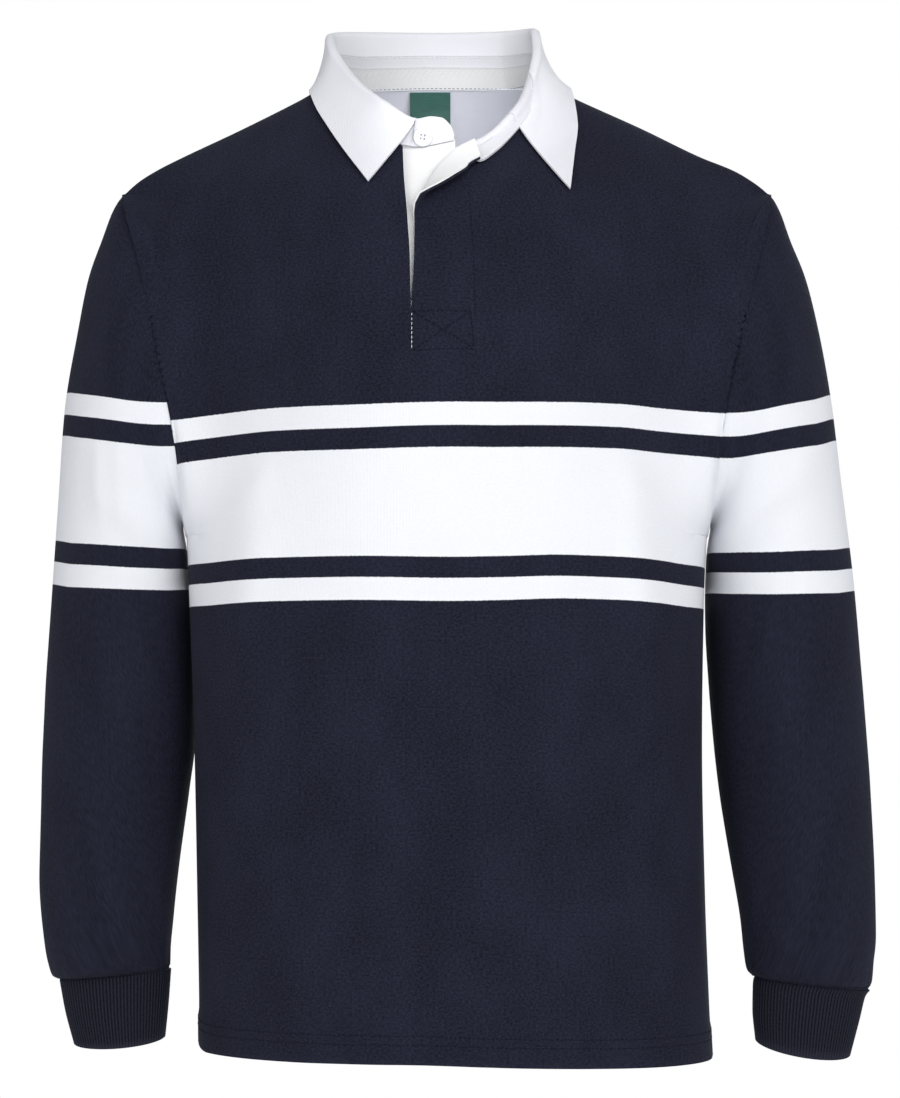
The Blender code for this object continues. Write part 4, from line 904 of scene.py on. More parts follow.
def body_patch(side, which):
    """Half a body panel, its hem doubled and grooved by its stitching."""
    outer, normal = panel(side, which)
    x, z = outer[..., 0], outer[..., 2]
    up = z - read(HEM, "z", x)
    hem = 1 / (1 + np.exp(np.clip((up - HEM_DEEP) / HEM_SOFT, -30, 30)))
    groove = sum(hump(up - level, STITCH_SUNK_WIDE) for level in HEM_STITCHES)
    edge = np.abs(read(EDGE, side, z)) - np.abs(x)
    puckered = PUCKER * ripple(z, edge, PUCKER_SIZE, 3) * np.exp(-edge / PUCKER_LONG)
    dip = SEAM_DIP * hump(edge, SEAM_DIP_WIDTH) + puckered
    if which == "front":
        groove = groove + placket_groove(x, z)
    lift = HEM_LIFT * hem - STITCH_SUNK * groove + PUCKER * ripple(x, up, 9, 5) * hem - dip * (edge > 0.01)
    outer = outer + normal * lift[..., None]
    inner = outer - normal * (JERSEY + JERSEY * 0.9 * hem)[..., None]
    rub = np.maximum(hump(edge, RUB_WIDE) * 0.25, hump(up, 2.5) * 0.6)
    mark = hoop_mark(z, ("body", "body_left"), np.clip(x / 197, 0, 1), BODY_SWAY, x)
    grids = [a if side == "right" else a[:, ::-1] for a in (outer, inner, mark, rub)]
    return patch(grids[0], grids[1], middle=-1 if side == "right" else 0, hoop=grids[2], rub=grids[3])


def turned_patch():
    """The front's left edge, rolled open above the placket's foot."""
    rows = body_rows() > SLIT_ROW + 1e-6
    levels = panel("left", "front")[0][rows, -1, 2]
    shares = np.linspace(0, 1, FLAP_STEPS + 1)
    grids = [np.array([[turned(z, s, depth) for s in shares] for z in levels]) for depth in (0.0, JERSEY)]
    return patch(*(g[:, ::-1] for g in grids), middle=-1, hoop=-60.0, rub=np.exp(-((1 - shares[::-1]) * 8)))


def sleeve_patch(side):
    points, normal = sleeve_grid(side)
    x, z = points[..., 0], points[..., 2]
    angles = np.linspace(0, 2 * math.pi, points.shape[1] + 1)[:-1]
    facing = 0.5 + 0.5 * np.clip(np.sin(angles) * 1.6, -1, 1)
    along = np.linspace(0, 1, len(points))[:, None]
    ends = np.clip(along / 0.05, 0, 1) * np.clip((1 - along) / 0.03, 0, 1)
    front, back = (creased(f"sleeve_{side}_{which}", x, z) for which in ("front", "back"))
    near = points - points[0]
    apart = np.linalg.norm(near, axis=-1)
    dip = SEAM_DIP * hump(apart, SEAM_DIP_WIDTH) * (apart > 0.01)
    cuff = np.linalg.norm(points - points[-1], axis=-1)
    pleats = np.sin(angles * GATHERS + 2 * ripple(angles * 9, 0, 3, 11))
    gather = pleats * np.exp(-cuff / GATHER_LONG) * GATHER_HIGH * (cuff > 0.01)
    lift = (front * facing + back * (1 - facing)) * ends - dip + gather
    outer = points + normal * lift[..., None]
    inward = normal.copy()
    inward[-1] = in_ring_plane(points[-1])
    over = eased(angles)
    mark = hoop_mark(z, (side + "_inner", side + "_outer"), over + 0 * z, SLEEVE_SWAY[side], over + 0 * z)
    rub = 0.25 * hump(apart, RUB_WIDE) + 0.4 * hump(cuff, RUB_WIDE)
    return patch(outer, outer - inward * JERSEY, closed=True, middle=ROWS_HIGH, hoop=mark, rub=rub)


def cuff_patch(side):
    outer, inner, rib = cuff_grid(side)
    share = np.linspace(0, 1, len(outer))[:, None]
    # The rib profile also goes in as a mark that paints the crests lighter and the hollows darker: painted
    # light and shade.
    return patch(outer, inner, closed=True, rib=rib, rub=hump(1 - share, 0.06))


def walled(grid, thick, inward=0.0, outward=None, **marks):
    """A wall about a middle surface, which may be thickened unevenly by outward."""
    normal = surface_normals(grid)
    add = 0.0 if outward is None else outward[..., None]
    return patch(grid + normal * (thick / 2 - inward + add), grid - normal * (thick / 2 + inward), **marks)


def leaf_ts(first=LEAF_FIRST, last=LEAF_LAST):
    return np.linspace(first, last, COLLAR_STEPS + 1)


def leaf_patch():
    """What turns over: two layers of twill as one wall, gently waved, puffed near its free edge and tips and
    grooved by the stitching there.
    """
    low, high = np.linspace(0, 0.3, 14)[:-1], np.linspace(0.3, 0.94, 14)
    shares = np.concatenate([low, high, [0.955, 0.97, 0.985, 1.0]])

    def lengths(t, whole):
        start = stand_height(t) + LEAF_START
        return start + shares * (whole - start)

    close = (0, 0.006, 0.012)
    first, last = [LEAF_FIRST + e for e in close], [LEAF_LAST - e for e in close[::-1]]
    ts = np.concatenate([first, leaf_ts()[2:-2], last])
    grid = collar_grid(ts, lengths)
    along = np.cumsum(np.linalg.norm(np.diff(grid[:, -1], axis=0, prepend=grid[:1, -1]), axis=-1))[:, None]
    from_edge = np.linalg.norm(grid - grid[:, -1:], axis=-1)
    tips = [np.linalg.norm(grid - tip, axis=-1) for tip in (grid[:1], grid[-1:])]
    near = np.minimum(from_edge, np.minimum(*tips))
    groove = hump(near - EDGE_STITCH, EDGE_SUNK_WIDE)
    wave = LEAF_WAVE * ripple(along + 0 * near, near, 34, 21) * np.clip(near / 14, 0, 1)
    puffed = LEAF_WAVE * PUFF_SHARE * ripple(along + 0 * near, near, 8, 23) * np.exp(-near / 9)
    return walled(grid, TWILL, outward=wave + puffed - EDGE_SUNK * groove, rub=np.exp(-near / 2))


def stand_patch():
    def lengths(t, whole):
        top = whole if t < LEAF_FIRST or t > LEAF_LAST else stand_height(t)
        return np.linspace(STAND_LIFT, top, STAND_LINES)

    tab = np.linspace(STAND_FIRST, LEAF_FIRST, 40)[:-1]
    end = np.linspace(LEAF_LAST, STAND_LAST, 30)[1:]
    return walled(collar_grid(np.concatenate([tab, leaf_ts(), end]), lengths), BAND)


def tape_patch():
    """The herringbone tape over the neck seam, gently cushioned between its two rows of stitches."""
    shares = np.linspace(0, 1, 13)
    levels = TAPE_ABOVE * shares - TAPE_BELOW * (1 - shares)
    inside = leaf_ts(-TAPE_REACH, TAPE_REACH)[1:-1]
    grid = collar_grid(inside, lambda t, whole: np.maximum(levels, 0))
    rise = unit(grid[:, -1:] - grid[:, :1])
    grid = grid + rise * np.minimum(levels, 0)[:, None]
    crown = 0.25 * np.sin(math.pi * shares) ** 0.5 + 0 * inside[:, None]
    return walled(grid[:, ::-1], LIGHT, -(BAND / 2 + SEAM + LIGHT / 2), outward=crown[:, ::-1])


def lining(x, z, which, depth, **marks):
    """A light layer behind a body panel, with its outer face that deep."""
    outer, inner = (on_body(x, z, which, depth + add)[0] for add in (0.0, LIGHT))
    return patch(outer, inner, **marks)


def half_moon_patch():
    """The facing in the back neck, its two ends bent in by the shoulders."""
    drops = np.linspace(0, HALF_MOON["drop"][-1], MOON_ROWS)
    across = np.linspace(-1, 1, MOON_COLUMNS)
    x = NECK_X + read(HALF_MOON, "half", drops)[:, None] * across
    z = neck_height(x, "back") + MOON_ABOVE - drops[:, None]
    depth = JERSEY + LAYER + HALF_MOON_ENDS * np.abs(across) ** 4 * np.exp(-drops[:, None] / 30)
    edge = np.minimum((1 - np.abs(across)) * 60, HALF_MOON["drop"][-1] - drops[:, None])
    depth = depth - 0.25 * hump(edge - 3, 1.2) + 0.3 * ripple(x, z, 22, 31)
    return lining(x, z, "back", depth, middle=MOON_COLUMNS // 2)


def label_patch():
    """The bare label: sewn in at its top, hanging free below with a soft bend."""
    across = np.linspace(-1, 1, LABEL_COLUMNS) * LABEL_HALF + LABEL_MIDDLE
    x, drop = np.meshgrid(across, np.linspace(0, LABEL_LONG, LABEL_ROWS))
    z = neck_height(x, "back") - SEAM_DROP - drop * LABEL_FALL
    points = on_body(x, z, "back", JERSEY + LOOSE + SEAM + LIGHT)[0]
    top = points[0].copy()
    points[..., 1] = top[:, 1] + LABEL_SLOPE * (points[..., 1] - top[:, 1])
    waved = LABEL_WAVE * ripple(x, drop, 14, 41) * drop / LABEL_LONG
    points[..., 1] -= LABEL_BEND * np.sin(math.pi * drop / LABEL_LONG) + waved
    du, dv = np.gradient(points, axis=0), np.gradient(points, axis=1)
    inward = unit(np.cross(du, dv))
    inward *= np.where(inward[..., 1:2] > 0, -1, 1)
    return patch(points, points + LABEL_THICK * inward, middle=LABEL_COLUMNS // 2)


def slit_levels(top):
    """Levels of what lies behind the placket, from its foot up to top."""
    below = np.linspace(BOX_Z, SLIT_Z, 7)[:-1]
    above = [row_height(v, top, SLIT_Z) for v in body_rows() if v >= SLIT_ROW - 1e-9]
    return np.concatenate([below, above])


def underlap_patch():
    """The white under layer: behind the right edge, then one layer deeper where the facing lies on it."""
    across = np.linspace(0, 1, UNDERLAP_STEPS)
    deeper = smooth(across, np.array([0, 0.16]), np.array([0.0, 1.0])) * (LIGHT + LOOSE)
    z_edge = slit_levels(TAB_TOP)[:, None]
    x = read(OPENING, "right", z_edge) - UNDERLAP_HIDDEN + PLACKET_WIDTH * across
    share = (z_edge - BOX_Z) / (TAB_TOP - BOX_Z)
    z = z_edge + (neck_height(x, "tab") + TAB_COVER - TAB_TOP) * share**4
    soft = 0.5 * ripple(x, z, 18, 51) * np.sin(math.pi * np.clip(share, 0, 1))
    return lining(x, z, "front", JERSEY + LOOSE + deeper + soft)


def facing_patch():
    """The white facing: from the free edge over the roll, then on along the panel's inner side."""
    shares = np.linspace(1, 0, FLAP_STEPS + 1)
    top, depth = OPENING["z"][-1], JERSEY + SEAM
    grids = []
    for add in (0.0, LIGHT):
        grid = []
        for z in slit_levels(top):
            along = max(0.0, (z - SLIT_Z) / (top - SLIT_Z))
            width = FACING_WIDTH + (FACING_TOP - FACING_WIDTH) * along**2
            x = read(OPENING, "roll", z) + width * np.linspace(0, 1, FACING_STEPS)[1:]
            level = z + (neck_height(x, "left") - top) * along**4 - SEAM_DROP * along
            below = LOOSE - SEAM if z < SLIT_Z else SEAM * along
            rolled = [turned(z - SEAM_DROP * along, s, depth + below + add) for s in shares]
            grid.append(np.concatenate([rolled, on_body(x, level, "front", depth + add)[0]]))
        grids.append(np.array(grid))
    return patch(*grids, middle=FLAP_STEPS)


def button_parts(finish, thread):
    """A turned disc with a raised rim, a dished middle and four thread holes, sewn to the collar's tab."""
    line = collar_line(BUTTON_T)
    ts = [BUTTON_T + step for step in (0, 0.01, -0.01)]
    place, ahead, behind = (at_lengths(collar_line(t), BUTTON_RISE)[0] for t in ts)
    up = unit(line[-1] - line[0])
    out = unit(np.cross(ahead - behind, up))
    out *= np.where(out[1] > 0, -1, 1)
    side = unit(np.cross(up, out))
    up = np.cross(out, side)
    place = place + out * (BAND / 2 + SEAM)
    dish = BUTTON_THICK - BUTTON_DISH
    top = BUTTON_THICK
    rim = [(0.15, top - 0.25), (0.5, top), (1.1, top), (1.5, top - 0.15), (2.1, dish + 0.1), (2.6, dish)]
    outline = [(0.8, 0), (0.25, 0.2), (0, 0.6), (0, top - 0.6), *rim]
    turns = np.linspace(0, 2 * math.pi, BUTTON_SIDES, endpoint=False)
    round_ = np.cos(turns)[:, None] * side + np.sin(turns)[:, None] * up
    rings = [place + (BUTTON_RADIUS - inset) * round_ + height * out for inset, height in outline]
    form = bmesh.new()
    made = [[form.verts.new(p * MM) for p in ring] for ring in rings]
    for low, high in zip(made, made[1:]):
        for k in range(BUTTON_SIDES):
            after = (k + 1) % BUTTON_SIDES
            form.faces.new((low[k], low[after], high[after], high[k]))
    form.faces.new(made[0][::-1])
    form.faces.new(made[-1])
    bmesh.ops.recalc_face_normals(form, faces=form.faces)
    mesh = bpy.data.meshes.new("button")
    form.to_mesh(mesh)
    form.free()
    disc = bpy.data.objects.new("button", mesh)
    bpy.context.scene.collection.objects.link(disc)
    mesh.materials.append(finish)
    quarters = math.pi / 4 + math.pi / 2 * np.arange(4)
    spots = [place + HOLE_RING * (math.cos(a) * side + math.sin(a) * up) for a in quarters]
    size = {"vertices": HOLE_SIDES, "radius": HOLE_RADIUS * MM, "depth": 8 * MM}
    for spot in spots:
        bpy.ops.mesh.primitive_cylinder_add(**size, location=spot * MM)
        drill = bpy.context.object
        drill.rotation_euler = Vector(out).to_track_quat("Z", "Y").to_euler()
        cut = disc.modifiers.new("hole", "BOOLEAN")
        cut.operation, cut.object, cut.solver = "DIFFERENCE", drill, "EXACT"
        bpy.context.view_layer.objects.active = disc
        bpy.ops.object.modifier_apply(modifier=cut.name)
        bpy.data.objects.remove(drill)
    disc.data.shade_smooth()
    disc.data.set_sharp_from_angle(angle=math.radians(35))
    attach(disc, "root")
    rows = []
    for first, second in ((0, 2), (1, 3), (0, 1), (2, 3)):
        a, b = spots[first], spots[second]
        lift = dish + 0.25 + (0.35 if first + second == 4 else 0.0)
        share = np.linspace(0, 1, 9)[:, None]
        arch = np.sin(math.pi * share) ** 0.5
        height = lift * arch + (dish - 1.2) * (1 - arch)
        rows.append(tube(a + (b - a) * share + out * height, np.tile(out, (9, 1)), BUTTON_THREAD))
    tie = threads("button_thread", rows, thread)
    return disc, tie


# ---------------------------------------------------------------- sewing


def tube(points, normals, radius):
    """Points and faces of a thread along a line, pinched at its ends."""
    points = np.asarray(points)
    along = unit(np.gradient(points, axis=0))
    aside = unit(np.cross(along, normals))
    out = np.cross(aside, along)
    turn = np.linspace(0, 2 * math.pi, THREAD_SIDES, endpoint=False)[None, :, None]
    thick = np.full(len(points), radius)
    thick[[0, -1]] *= 0.4
    spokes = np.cos(turn) * aside[:, None] + np.sin(turn) * out[:, None]
    rings = points[:, None] + thick[:, None, None] * spokes
    index = numbered(len(points), THREAD_SIDES)
    return rings.reshape(-1, 3), grid_faces(index, closed=True), index[[0, -1]]


def threads(name, tubes, finish):
    """Many threads as one object."""
    points, quads, first = [], [], 0
    for rings, faces, ends in tubes:
        points.append(rings)
        quads.append(faces + first)
        for cap in (ends[0][::-1], ends[1]):
            quads.append(np.stack([cap[[0, 1, 2, 3]], cap[[3, 4, 5, 0]]]) + first)
        first += len(rings)
    return sewn(name, np.concatenate(points) * MM, np.concatenate(quads), finish, sharp=80)


def stitched(line, normals, length=2.6, gap=0.7, radius=0.26, sink=0.12):
    """Stitches one after another along a line on the cloth."""
    run = run_along(line)
    starts = np.arange(gap / 2, run[-1] - length, length + gap)
    shares = np.array([0.0, 0.18, 0.5, 0.82, 1.0])
    found = []
    for start in starts:
        at = start + length * shares
        points = np.stack([np.interp(at, run, line[:, k]) for k in range(3)], -1)
        out = unit(np.stack([np.interp(at, run, normals[:, k]) for k in range(3)], -1))
        height = np.array([-0.9, 0.55, 0.8, 0.55, -0.9])[:, None] * radius - sink * radius
        found.append(tube(points + out * height, out, radius))
    return found


# ---------------------------------------------------------------- lines of sewing


def on_patch(laid, rows, columns, face="outer"):
    """Points and normals of a patch at fractional rows and columns."""
    grid = laid[face]
    rows, columns = (np.clip(v, 0, size - 1) for v, size in zip((rows, columns), grid.shape))
    rows, columns = np.broadcast_arrays(rows, columns)
    i, j = np.minimum(rows.astype(int), len(grid) - 2), np.minimum(columns.astype(int), grid.shape[1] - 2)
    p, q = (rows - i)[..., None], (columns - j)[..., None]
    a, b, c, d = grid[i, j], grid[i, j + 1], grid[i + 1, j], grid[i + 1, j + 1]
    point = (a * (1 - q) + b * q) * (1 - p) + (c * (1 - q) + d * q) * p
    out = unit(np.cross(b - a, c - a))
    other = laid["inner" if face == "outer" else "outer"]
    away = grid[i, j] - other[i, j]
    return point, out * np.sign((out * away).sum(-1, keepdims=True))


def column_near(laid, row, distance, from_last=False):
    """The fractional column of a row that lies that far from its first or last one."""
    line = laid["outer"][row]
    line = line[::-1] if from_last else line
    run = run_along(line)
    at = np.interp(distance, run, np.arange(len(run)))
    return len(line) - 1 - at if from_last else at


def body_lines():
    """Twin rows over the hem, the placket's crossed box and long line, and a row over each cuff."""
    lines = []
    for name in ("body_front", "body_back"):
        for laid in MADE[name][:2]:
            columns = np.linspace(0, laid["outer"].shape[1] - 1, 160)
            for level in HEM_STITCHES:
                lines.append(on_patch(laid, level / (ARMPIT_Z - LOWEST_Z) * ROWS_LOW, columns))
    corners = PLACKET_BOX
    for a, b in BOX_LINES:
        share = np.linspace(0, 1, 24)
        x = corners[a][0] + (corners[b][0] - corners[a][0]) * share
        z = corners[a][1] + (corners[b][1] - corners[a][1]) * share
        lines.append(on_body(x, z, "front"))
    z = np.linspace(PLACKET_BOX[1][1], PLACKET_LINE_TOP, 60)
    lines.append(on_body(read(OPENING, "right", z) + PLACKET_LINE, z, "front"))
    for side in ("right", "left"):
        laid = MADE["sleeve_" + side][0]
        columns = np.arange(laid["outer"].shape[1])
        lines.append(on_patch(laid, np.array([sleeve_row(laid, j, CUFF_STITCH) for j in columns]), columns))
    return lines


def sleeve_row(laid, column, distance):
    """The fractional row of a sleeve that lies that far above its cuff seam."""
    line = laid["outer"][::-1, column]
    run = run_along(line)
    return len(line) - 1 - np.interp(distance, run, np.arange(len(run)))


def collar_lines():
    """A row along the leaf's free edge and tips, and two along the inside of the stand."""
    leaf, stand = MADE["collar_leaf"][0], MADE["collar_stand"][0]
    rows = len(leaf["outer"])
    edge = np.array([column_near(leaf, i, EDGE_STITCH, True) for i in range(rows)])
    from_tip = np.linalg.norm(leaf["outer"][:30, -8] - leaf["outer"][0, -8], axis=-1)
    tip = np.interp(EDGE_STITCH, from_tip, np.arange(30))
    tips = (tip, rows - 1 - tip)
    along = np.linspace(tips[0], tips[1], 400)
    lines = [on_patch(leaf, along, np.interp(along, np.arange(rows), edge))]
    for tip in tips:
        lines.append(on_patch(leaf, tip, np.linspace(6, np.interp(tip, np.arange(rows), edge), 60)))
    count, wide = stand["outer"].shape[:2]
    for share in STAND_STITCHES:
        lines.append(on_patch(stand, np.linspace(2, count - 3, 500), share * (wide - 1), "inner"))
    return lines


def neck_lines():
    """A row along the foot of the tape."""
    tape = MADE["neck_tape"][0]
    count, wide = tape["outer"].shape[:2]
    return [on_patch(tape, np.linspace(1, count - 2, 300), 0.92 * (wide - 1))]


def placket_dashes():
    """White stitches that show beside the crossed box."""
    z = np.linspace(PLACKET_BOX[0][1] - 1, PLACKET_BOX[3][1] + 1, 30)
    return [on_body(PLACKET_BOX[0][0] + 0 * z, z, "front")]


# ---------------------------------------------------------------- finishes


class Finish:
    """A material being mixed: each node's inputs take values or the outputs of earlier nodes."""

    def __init__(self, name, roughness, **shader):
        self.material = bpy.data.materials.new(name)
        self.material.use_nodes = True
        self.tree = self.material.node_tree
        self.shader = self.tree.nodes["Principled BSDF"]
        self.shader.inputs["Roughness"].default_value = roughness
        for socket, value in shader.items():
            self.shader.inputs[socket.replace("_", " ")].default_value = value

    def node(self, kind, inputs, output=0, **settings):
        made = self.tree.nodes.new("ShaderNode" + kind)
        for key, value in settings.items():
            setattr(made, key, value)
        for socket, value in inputs.items():
            self.feed(made.inputs[socket], value)
        return made.outputs[output]

    def feed(self, socket, value):
        if isinstance(value, bpy.types.NodeSocket):
            self.tree.links.new(value, socket)
        else:
            socket.default_value = value

    def laid(self):
        """The cloth's own coordinates, in metres across and up its grain."""
        return self.node("UVMap", {}, uv_map="knit")

    def mark(self, name):
        return self.node("Attribute", {}, output=2, attribute_name=name)

    def maths(self, operation, *values):
        return self.node("Math", dict(enumerate(values)), operation=operation)

    def mixed(self, share, first, second):
        inputs = {0: share, 6: first, 7: second}
        return self.node("Mix", inputs, output=2, data_type="RGBA")

    def stretched(self, across, up):
        """The cloth's coordinates at so many cells a metre each way."""
        return self.node("Mapping", {"Vector": self.laid(), "Scale": (across, up, 1.0)})

    def noise(self, across, up, detail=2.0, roughness=0.55):
        inputs = {"Vector": self.stretched(across, up), "Scale": 1.0, "Detail": detail}
        return self.node("TexNoise", {**inputs, "Roughness": roughness}, noise_dimensions="2D")

    def clouds(self, scale, detail=2.0):
        """Noise through the thing itself, whichever way its faces lie."""
        where = self.node("TexCoord", {}, output=3)
        return self.node("TexNoise", {"Vector": where, "Scale": scale, "Detail": detail})

    def ridges(self, spacing, direction, distortion=0.0, scale=2.0):
        """Fine ridges that far apart, in metres, that follow one another across (X), up (Y) or aslant."""
        inputs = {"Vector": self.laid(), "Scale": WAVE_PERIOD / spacing, "Distortion": distortion}
        inputs["Detail Scale"] = scale
        return self.node("TexWave", inputs, output=1, wave_type="BANDS", bands_direction=direction)

    def spread(self, value, low, high, to_low=0.0, to_high=1.0):
        inputs = {"Value": value, "From Min": low, "From Max": high, "To Min": to_low, "To Max": to_high}
        return self.node("MapRange", inputs)

    def summed(self, first, second):
        """The sum of two noises, each spread between two values of its own."""
        return self.maths("ADD", self.spread(*first), self.spread(*second))

    def finish(self, colour, height=None, depth=0.0003, strength=0.5):
        self.feed(self.shader.inputs["Base Color"], colour)
        if height is not None:
            bump = self.node("Bump", {"Height": height, "Distance": depth, "Strength": strength})
            self.tree.links.new(bump, self.shader.inputs["Normal"])
        return self.material


WAVE_PERIOD = math.pi / 10  # a wave texture's spacing at scale 1
NAVY_SHEEN = {"Sheen_Weight": 0.05, "Sheen_Tint": (0.6, 0.65, 0.8, 1), "Specular_IOR_Level": 0.1}
HOOP_SOFT = 0.25  # half of what a hoop's edge blends over, in millimetres
COURSE_SHARE = 0.72  # how close courses lie against wales
TAPE_COLUMN, TAPE_THREAD = 0.0023, 0.0014  # width of a slanting column and of a thread in it, in metres


def colour(value, times=1.0):
    return (*(channel * times for channel in value[:3]), 1.0)


def jersey(name, sizes):
    """Heavy knitted jersey: wales and courses, uneven yarn, and hoops knitted in."""
    made = Finish(name, 0.88, Sheen_Roughness=0.45, **NAVY_SHEEN)
    yarn = made.noise(460, 620, 3.0, 0.7)
    patchy = made.noise(22, 14, 3.0)
    tone = made.summed((yarn, 0.25, 0.75, -0.7, 0.7), (patchy, 0.3, 0.7, -0.15, 0.15))
    navy = made.mixed(made.spread(tone, -0.8, 0.8), colour(sizes.navy, 0.3), colour(sizes.navy, 1.7))
    rubbed = made.maths("MULTIPLY", made.mark("rub"), made.spread(made.noise(260, 260, 3.0), 0.35, 0.75))
    navy = made.mixed(made.maths("MULTIPLY", rubbed, 0.35), navy, colour(sizes.navy_worn))
    shade = made.spread(tone, -0.8, 0.8)
    white = made.mixed(shade, colour(sizes.white, 0.955), colour(sizes.white, 1.02))
    ragged = made.spread(made.noise(900, 30, 1.0), 0.3, 0.7, -0.5, 0.5)
    ragged = made.maths("MULTIPLY_ADD", ragged, 0.3, made.mark("hoop"))
    inside = 0.0
    for start, end in zip(HOOPS["along"][::2], HOOPS["along"][1::2]):
        above = made.spread(ragged, start - HOOP_SOFT, start + HOOP_SOFT)
        below = made.spread(ragged, end - HOOP_SOFT, end + HOOP_SOFT, 1.0, 0.0)
        inside = made.maths("ADD", inside, made.maths("MULTIPLY", above, below))
    wales = made.ridges(sizes.wale_spacing, "X", 0.6, 3.0)
    courses = made.ridges(sizes.wale_spacing * COURSE_SHARE, "Y", 0.8, 3.0)
    loops = made.maths("MULTIPLY_ADD", courses, 0.45, made.maths("MULTIPLY", wales, 0.5))
    height = made.maths("ADD", loops, made.maths("MULTIPLY", made.noise(2600, 2600, 3.0), 0.7))
    return made.finish(made.mixed(inside, navy, white), height, 0.00025, 0.55)


def ribbed(name, sizes):
    """Elastic rib knit: its ribs are in the wall, and its stitches run down them. Its colour holds painted
    light on the ribs' crests and painted shade in the hollows between them.
    """
    made = Finish(name, 0.9, Sheen_Roughness=0.5, **NAVY_SHEEN)
    # The rib mark makes the crests lighter and the hollows darker: painted light and shade, over uneven
    # yarn.
    yarn = made.spread(made.noise(500, 500, 3.0), 0.25, 0.75)
    yarn = made.maths("MULTIPLY_ADD", yarn, 0.35, made.mark("rib"))
    tone = made.mixed(made.spread(yarn, 0.1, 1.25), colour(sizes.rib, 0.2), colour(sizes.rib, 2.0))
    rubbed = made.maths("MULTIPLY", made.mark("rub"), 0.3)
    courses = made.ridges(0.0011, "Y", 1.2, 3.0)
    height = made.maths("MULTIPLY_ADD", courses, 0.5, made.noise(2400, 2400, 3.0))
    return made.finish(made.mixed(rubbed, tone, colour(sizes.navy_worn)), height, 0.00025, 0.5)


def woven(name, base, twill_spacing=0.0011, variation=0.03):
    """White cotton twill or drill: a fine diagonal and thread-thick unevenness."""
    made = Finish(name, 0.82, Sheen_Weight=0.15, Sheen_Roughness=0.5, Specular_IOR_Level=0.3)
    slub = made.noise(60, 700, 3.0)
    soft = made.noise(25, 25, 2.0)
    tone = made.spread(made.summed((slub, 0.25, 0.75, -0.5, 0.5), (soft, 0.3, 0.7, -0.5, 0.5)), -1, 1)
    result = made.mixed(tone, colour(base, 1 - variation), colour(base, 1 + variation / 2))
    diagonal = made.ridges(twill_spacing, "DIAGONAL", 0.3)
    fuzz = made.maths("MULTIPLY", made.noise(2200, 2200), 0.5)
    return made.finish(result, made.maths("MULTIPLY_ADD", diagonal, 0.6, fuzz), 0.0002, 0.5)


def herringbone(name, base):
    """Cotton tape woven in slanting columns that turn back on themselves."""
    made = Finish(name, 0.85, Sheen_Weight=0.1, Specular_IOR_Level=0.3)
    across = made.node("SeparateXYZ", {"Vector": made.laid()})
    up = across.node.outputs[1]
    slanted = made.maths("ADD", across, made.maths("PINGPONG", up, TAPE_COLUMN))
    lines = made.maths("SINE", made.maths("MULTIPLY", slanted, 2 * math.pi / TAPE_THREAD))
    lines = made.spread(lines, -1, 1)
    tone = made.mixed(lines, colour(base, 0.9), colour(base, 1.04))
    tone = made.mixed(made.maths("MULTIPLY", made.noise(300, 300), 0.12), tone, colour(base, 0.7))
    return made.finish(tone, lines, 0.0003, 0.6)


def satin(name, base):
    """Woven satin label, bare: fine floats across it."""
    made = Finish(name, 0.42, Sheen_Weight=0.2, Specular_IOR_Level=0.45, Anisotropic=0.4)
    floats = made.ridges(0.0006, "Y", 0.4)
    streaks = made.spread(made.noise(120, 1800), 0.3, 0.7)
    tone = made.mixed(streaks, colour(base, 0.86), colour(base, 1.12))
    return made.finish(tone, floats, 0.00012, 0.4)


def resin(name, base):
    """Cast button resin with a faint cloudiness."""
    coat = {"Coat_Weight": 0.3, "Coat_Roughness": 0.15}
    made = Finish(name, 0.28, **coat, Subsurface_Weight=0.1, Specular_IOR_Level=0.5)
    return made.finish(made.mixed(made.clouds(220.0), colour(base, 0.94), colour(base, 1.03)))


def thread(name, base):
    """Twisted sewing thread."""
    made = Finish(name, 0.85, Sheen_Weight=0.0, Specular_IOR_Level=0.1)
    twist = made.clouds(2500.0, 1.0)
    return made.finish(made.mixed(twist, colour(base, 0.85), colour(base, 1.1)), twist, 0.0001, 0.4)


# ---------------------------------------------------------------- what a user may change


def tint(name, description, default):
    limits = {"size": 3, "min": 0.0, "max": 1.0, "subtype": "COLOR"}
    return bpy.props.FloatVectorProperty(name=name, description=description, default=default, **limits)


def amount(name, description, default, **limits):
    return bpy.props.FloatProperty(name=name, description=description, default=default, **limits)


def length(name, description, default, **limits):
    return amount(name, description, default, unit="LENGTH", **limits)


def power(name, description, default):
    return amount(name, description, default, min=0.0, unit="POWER")


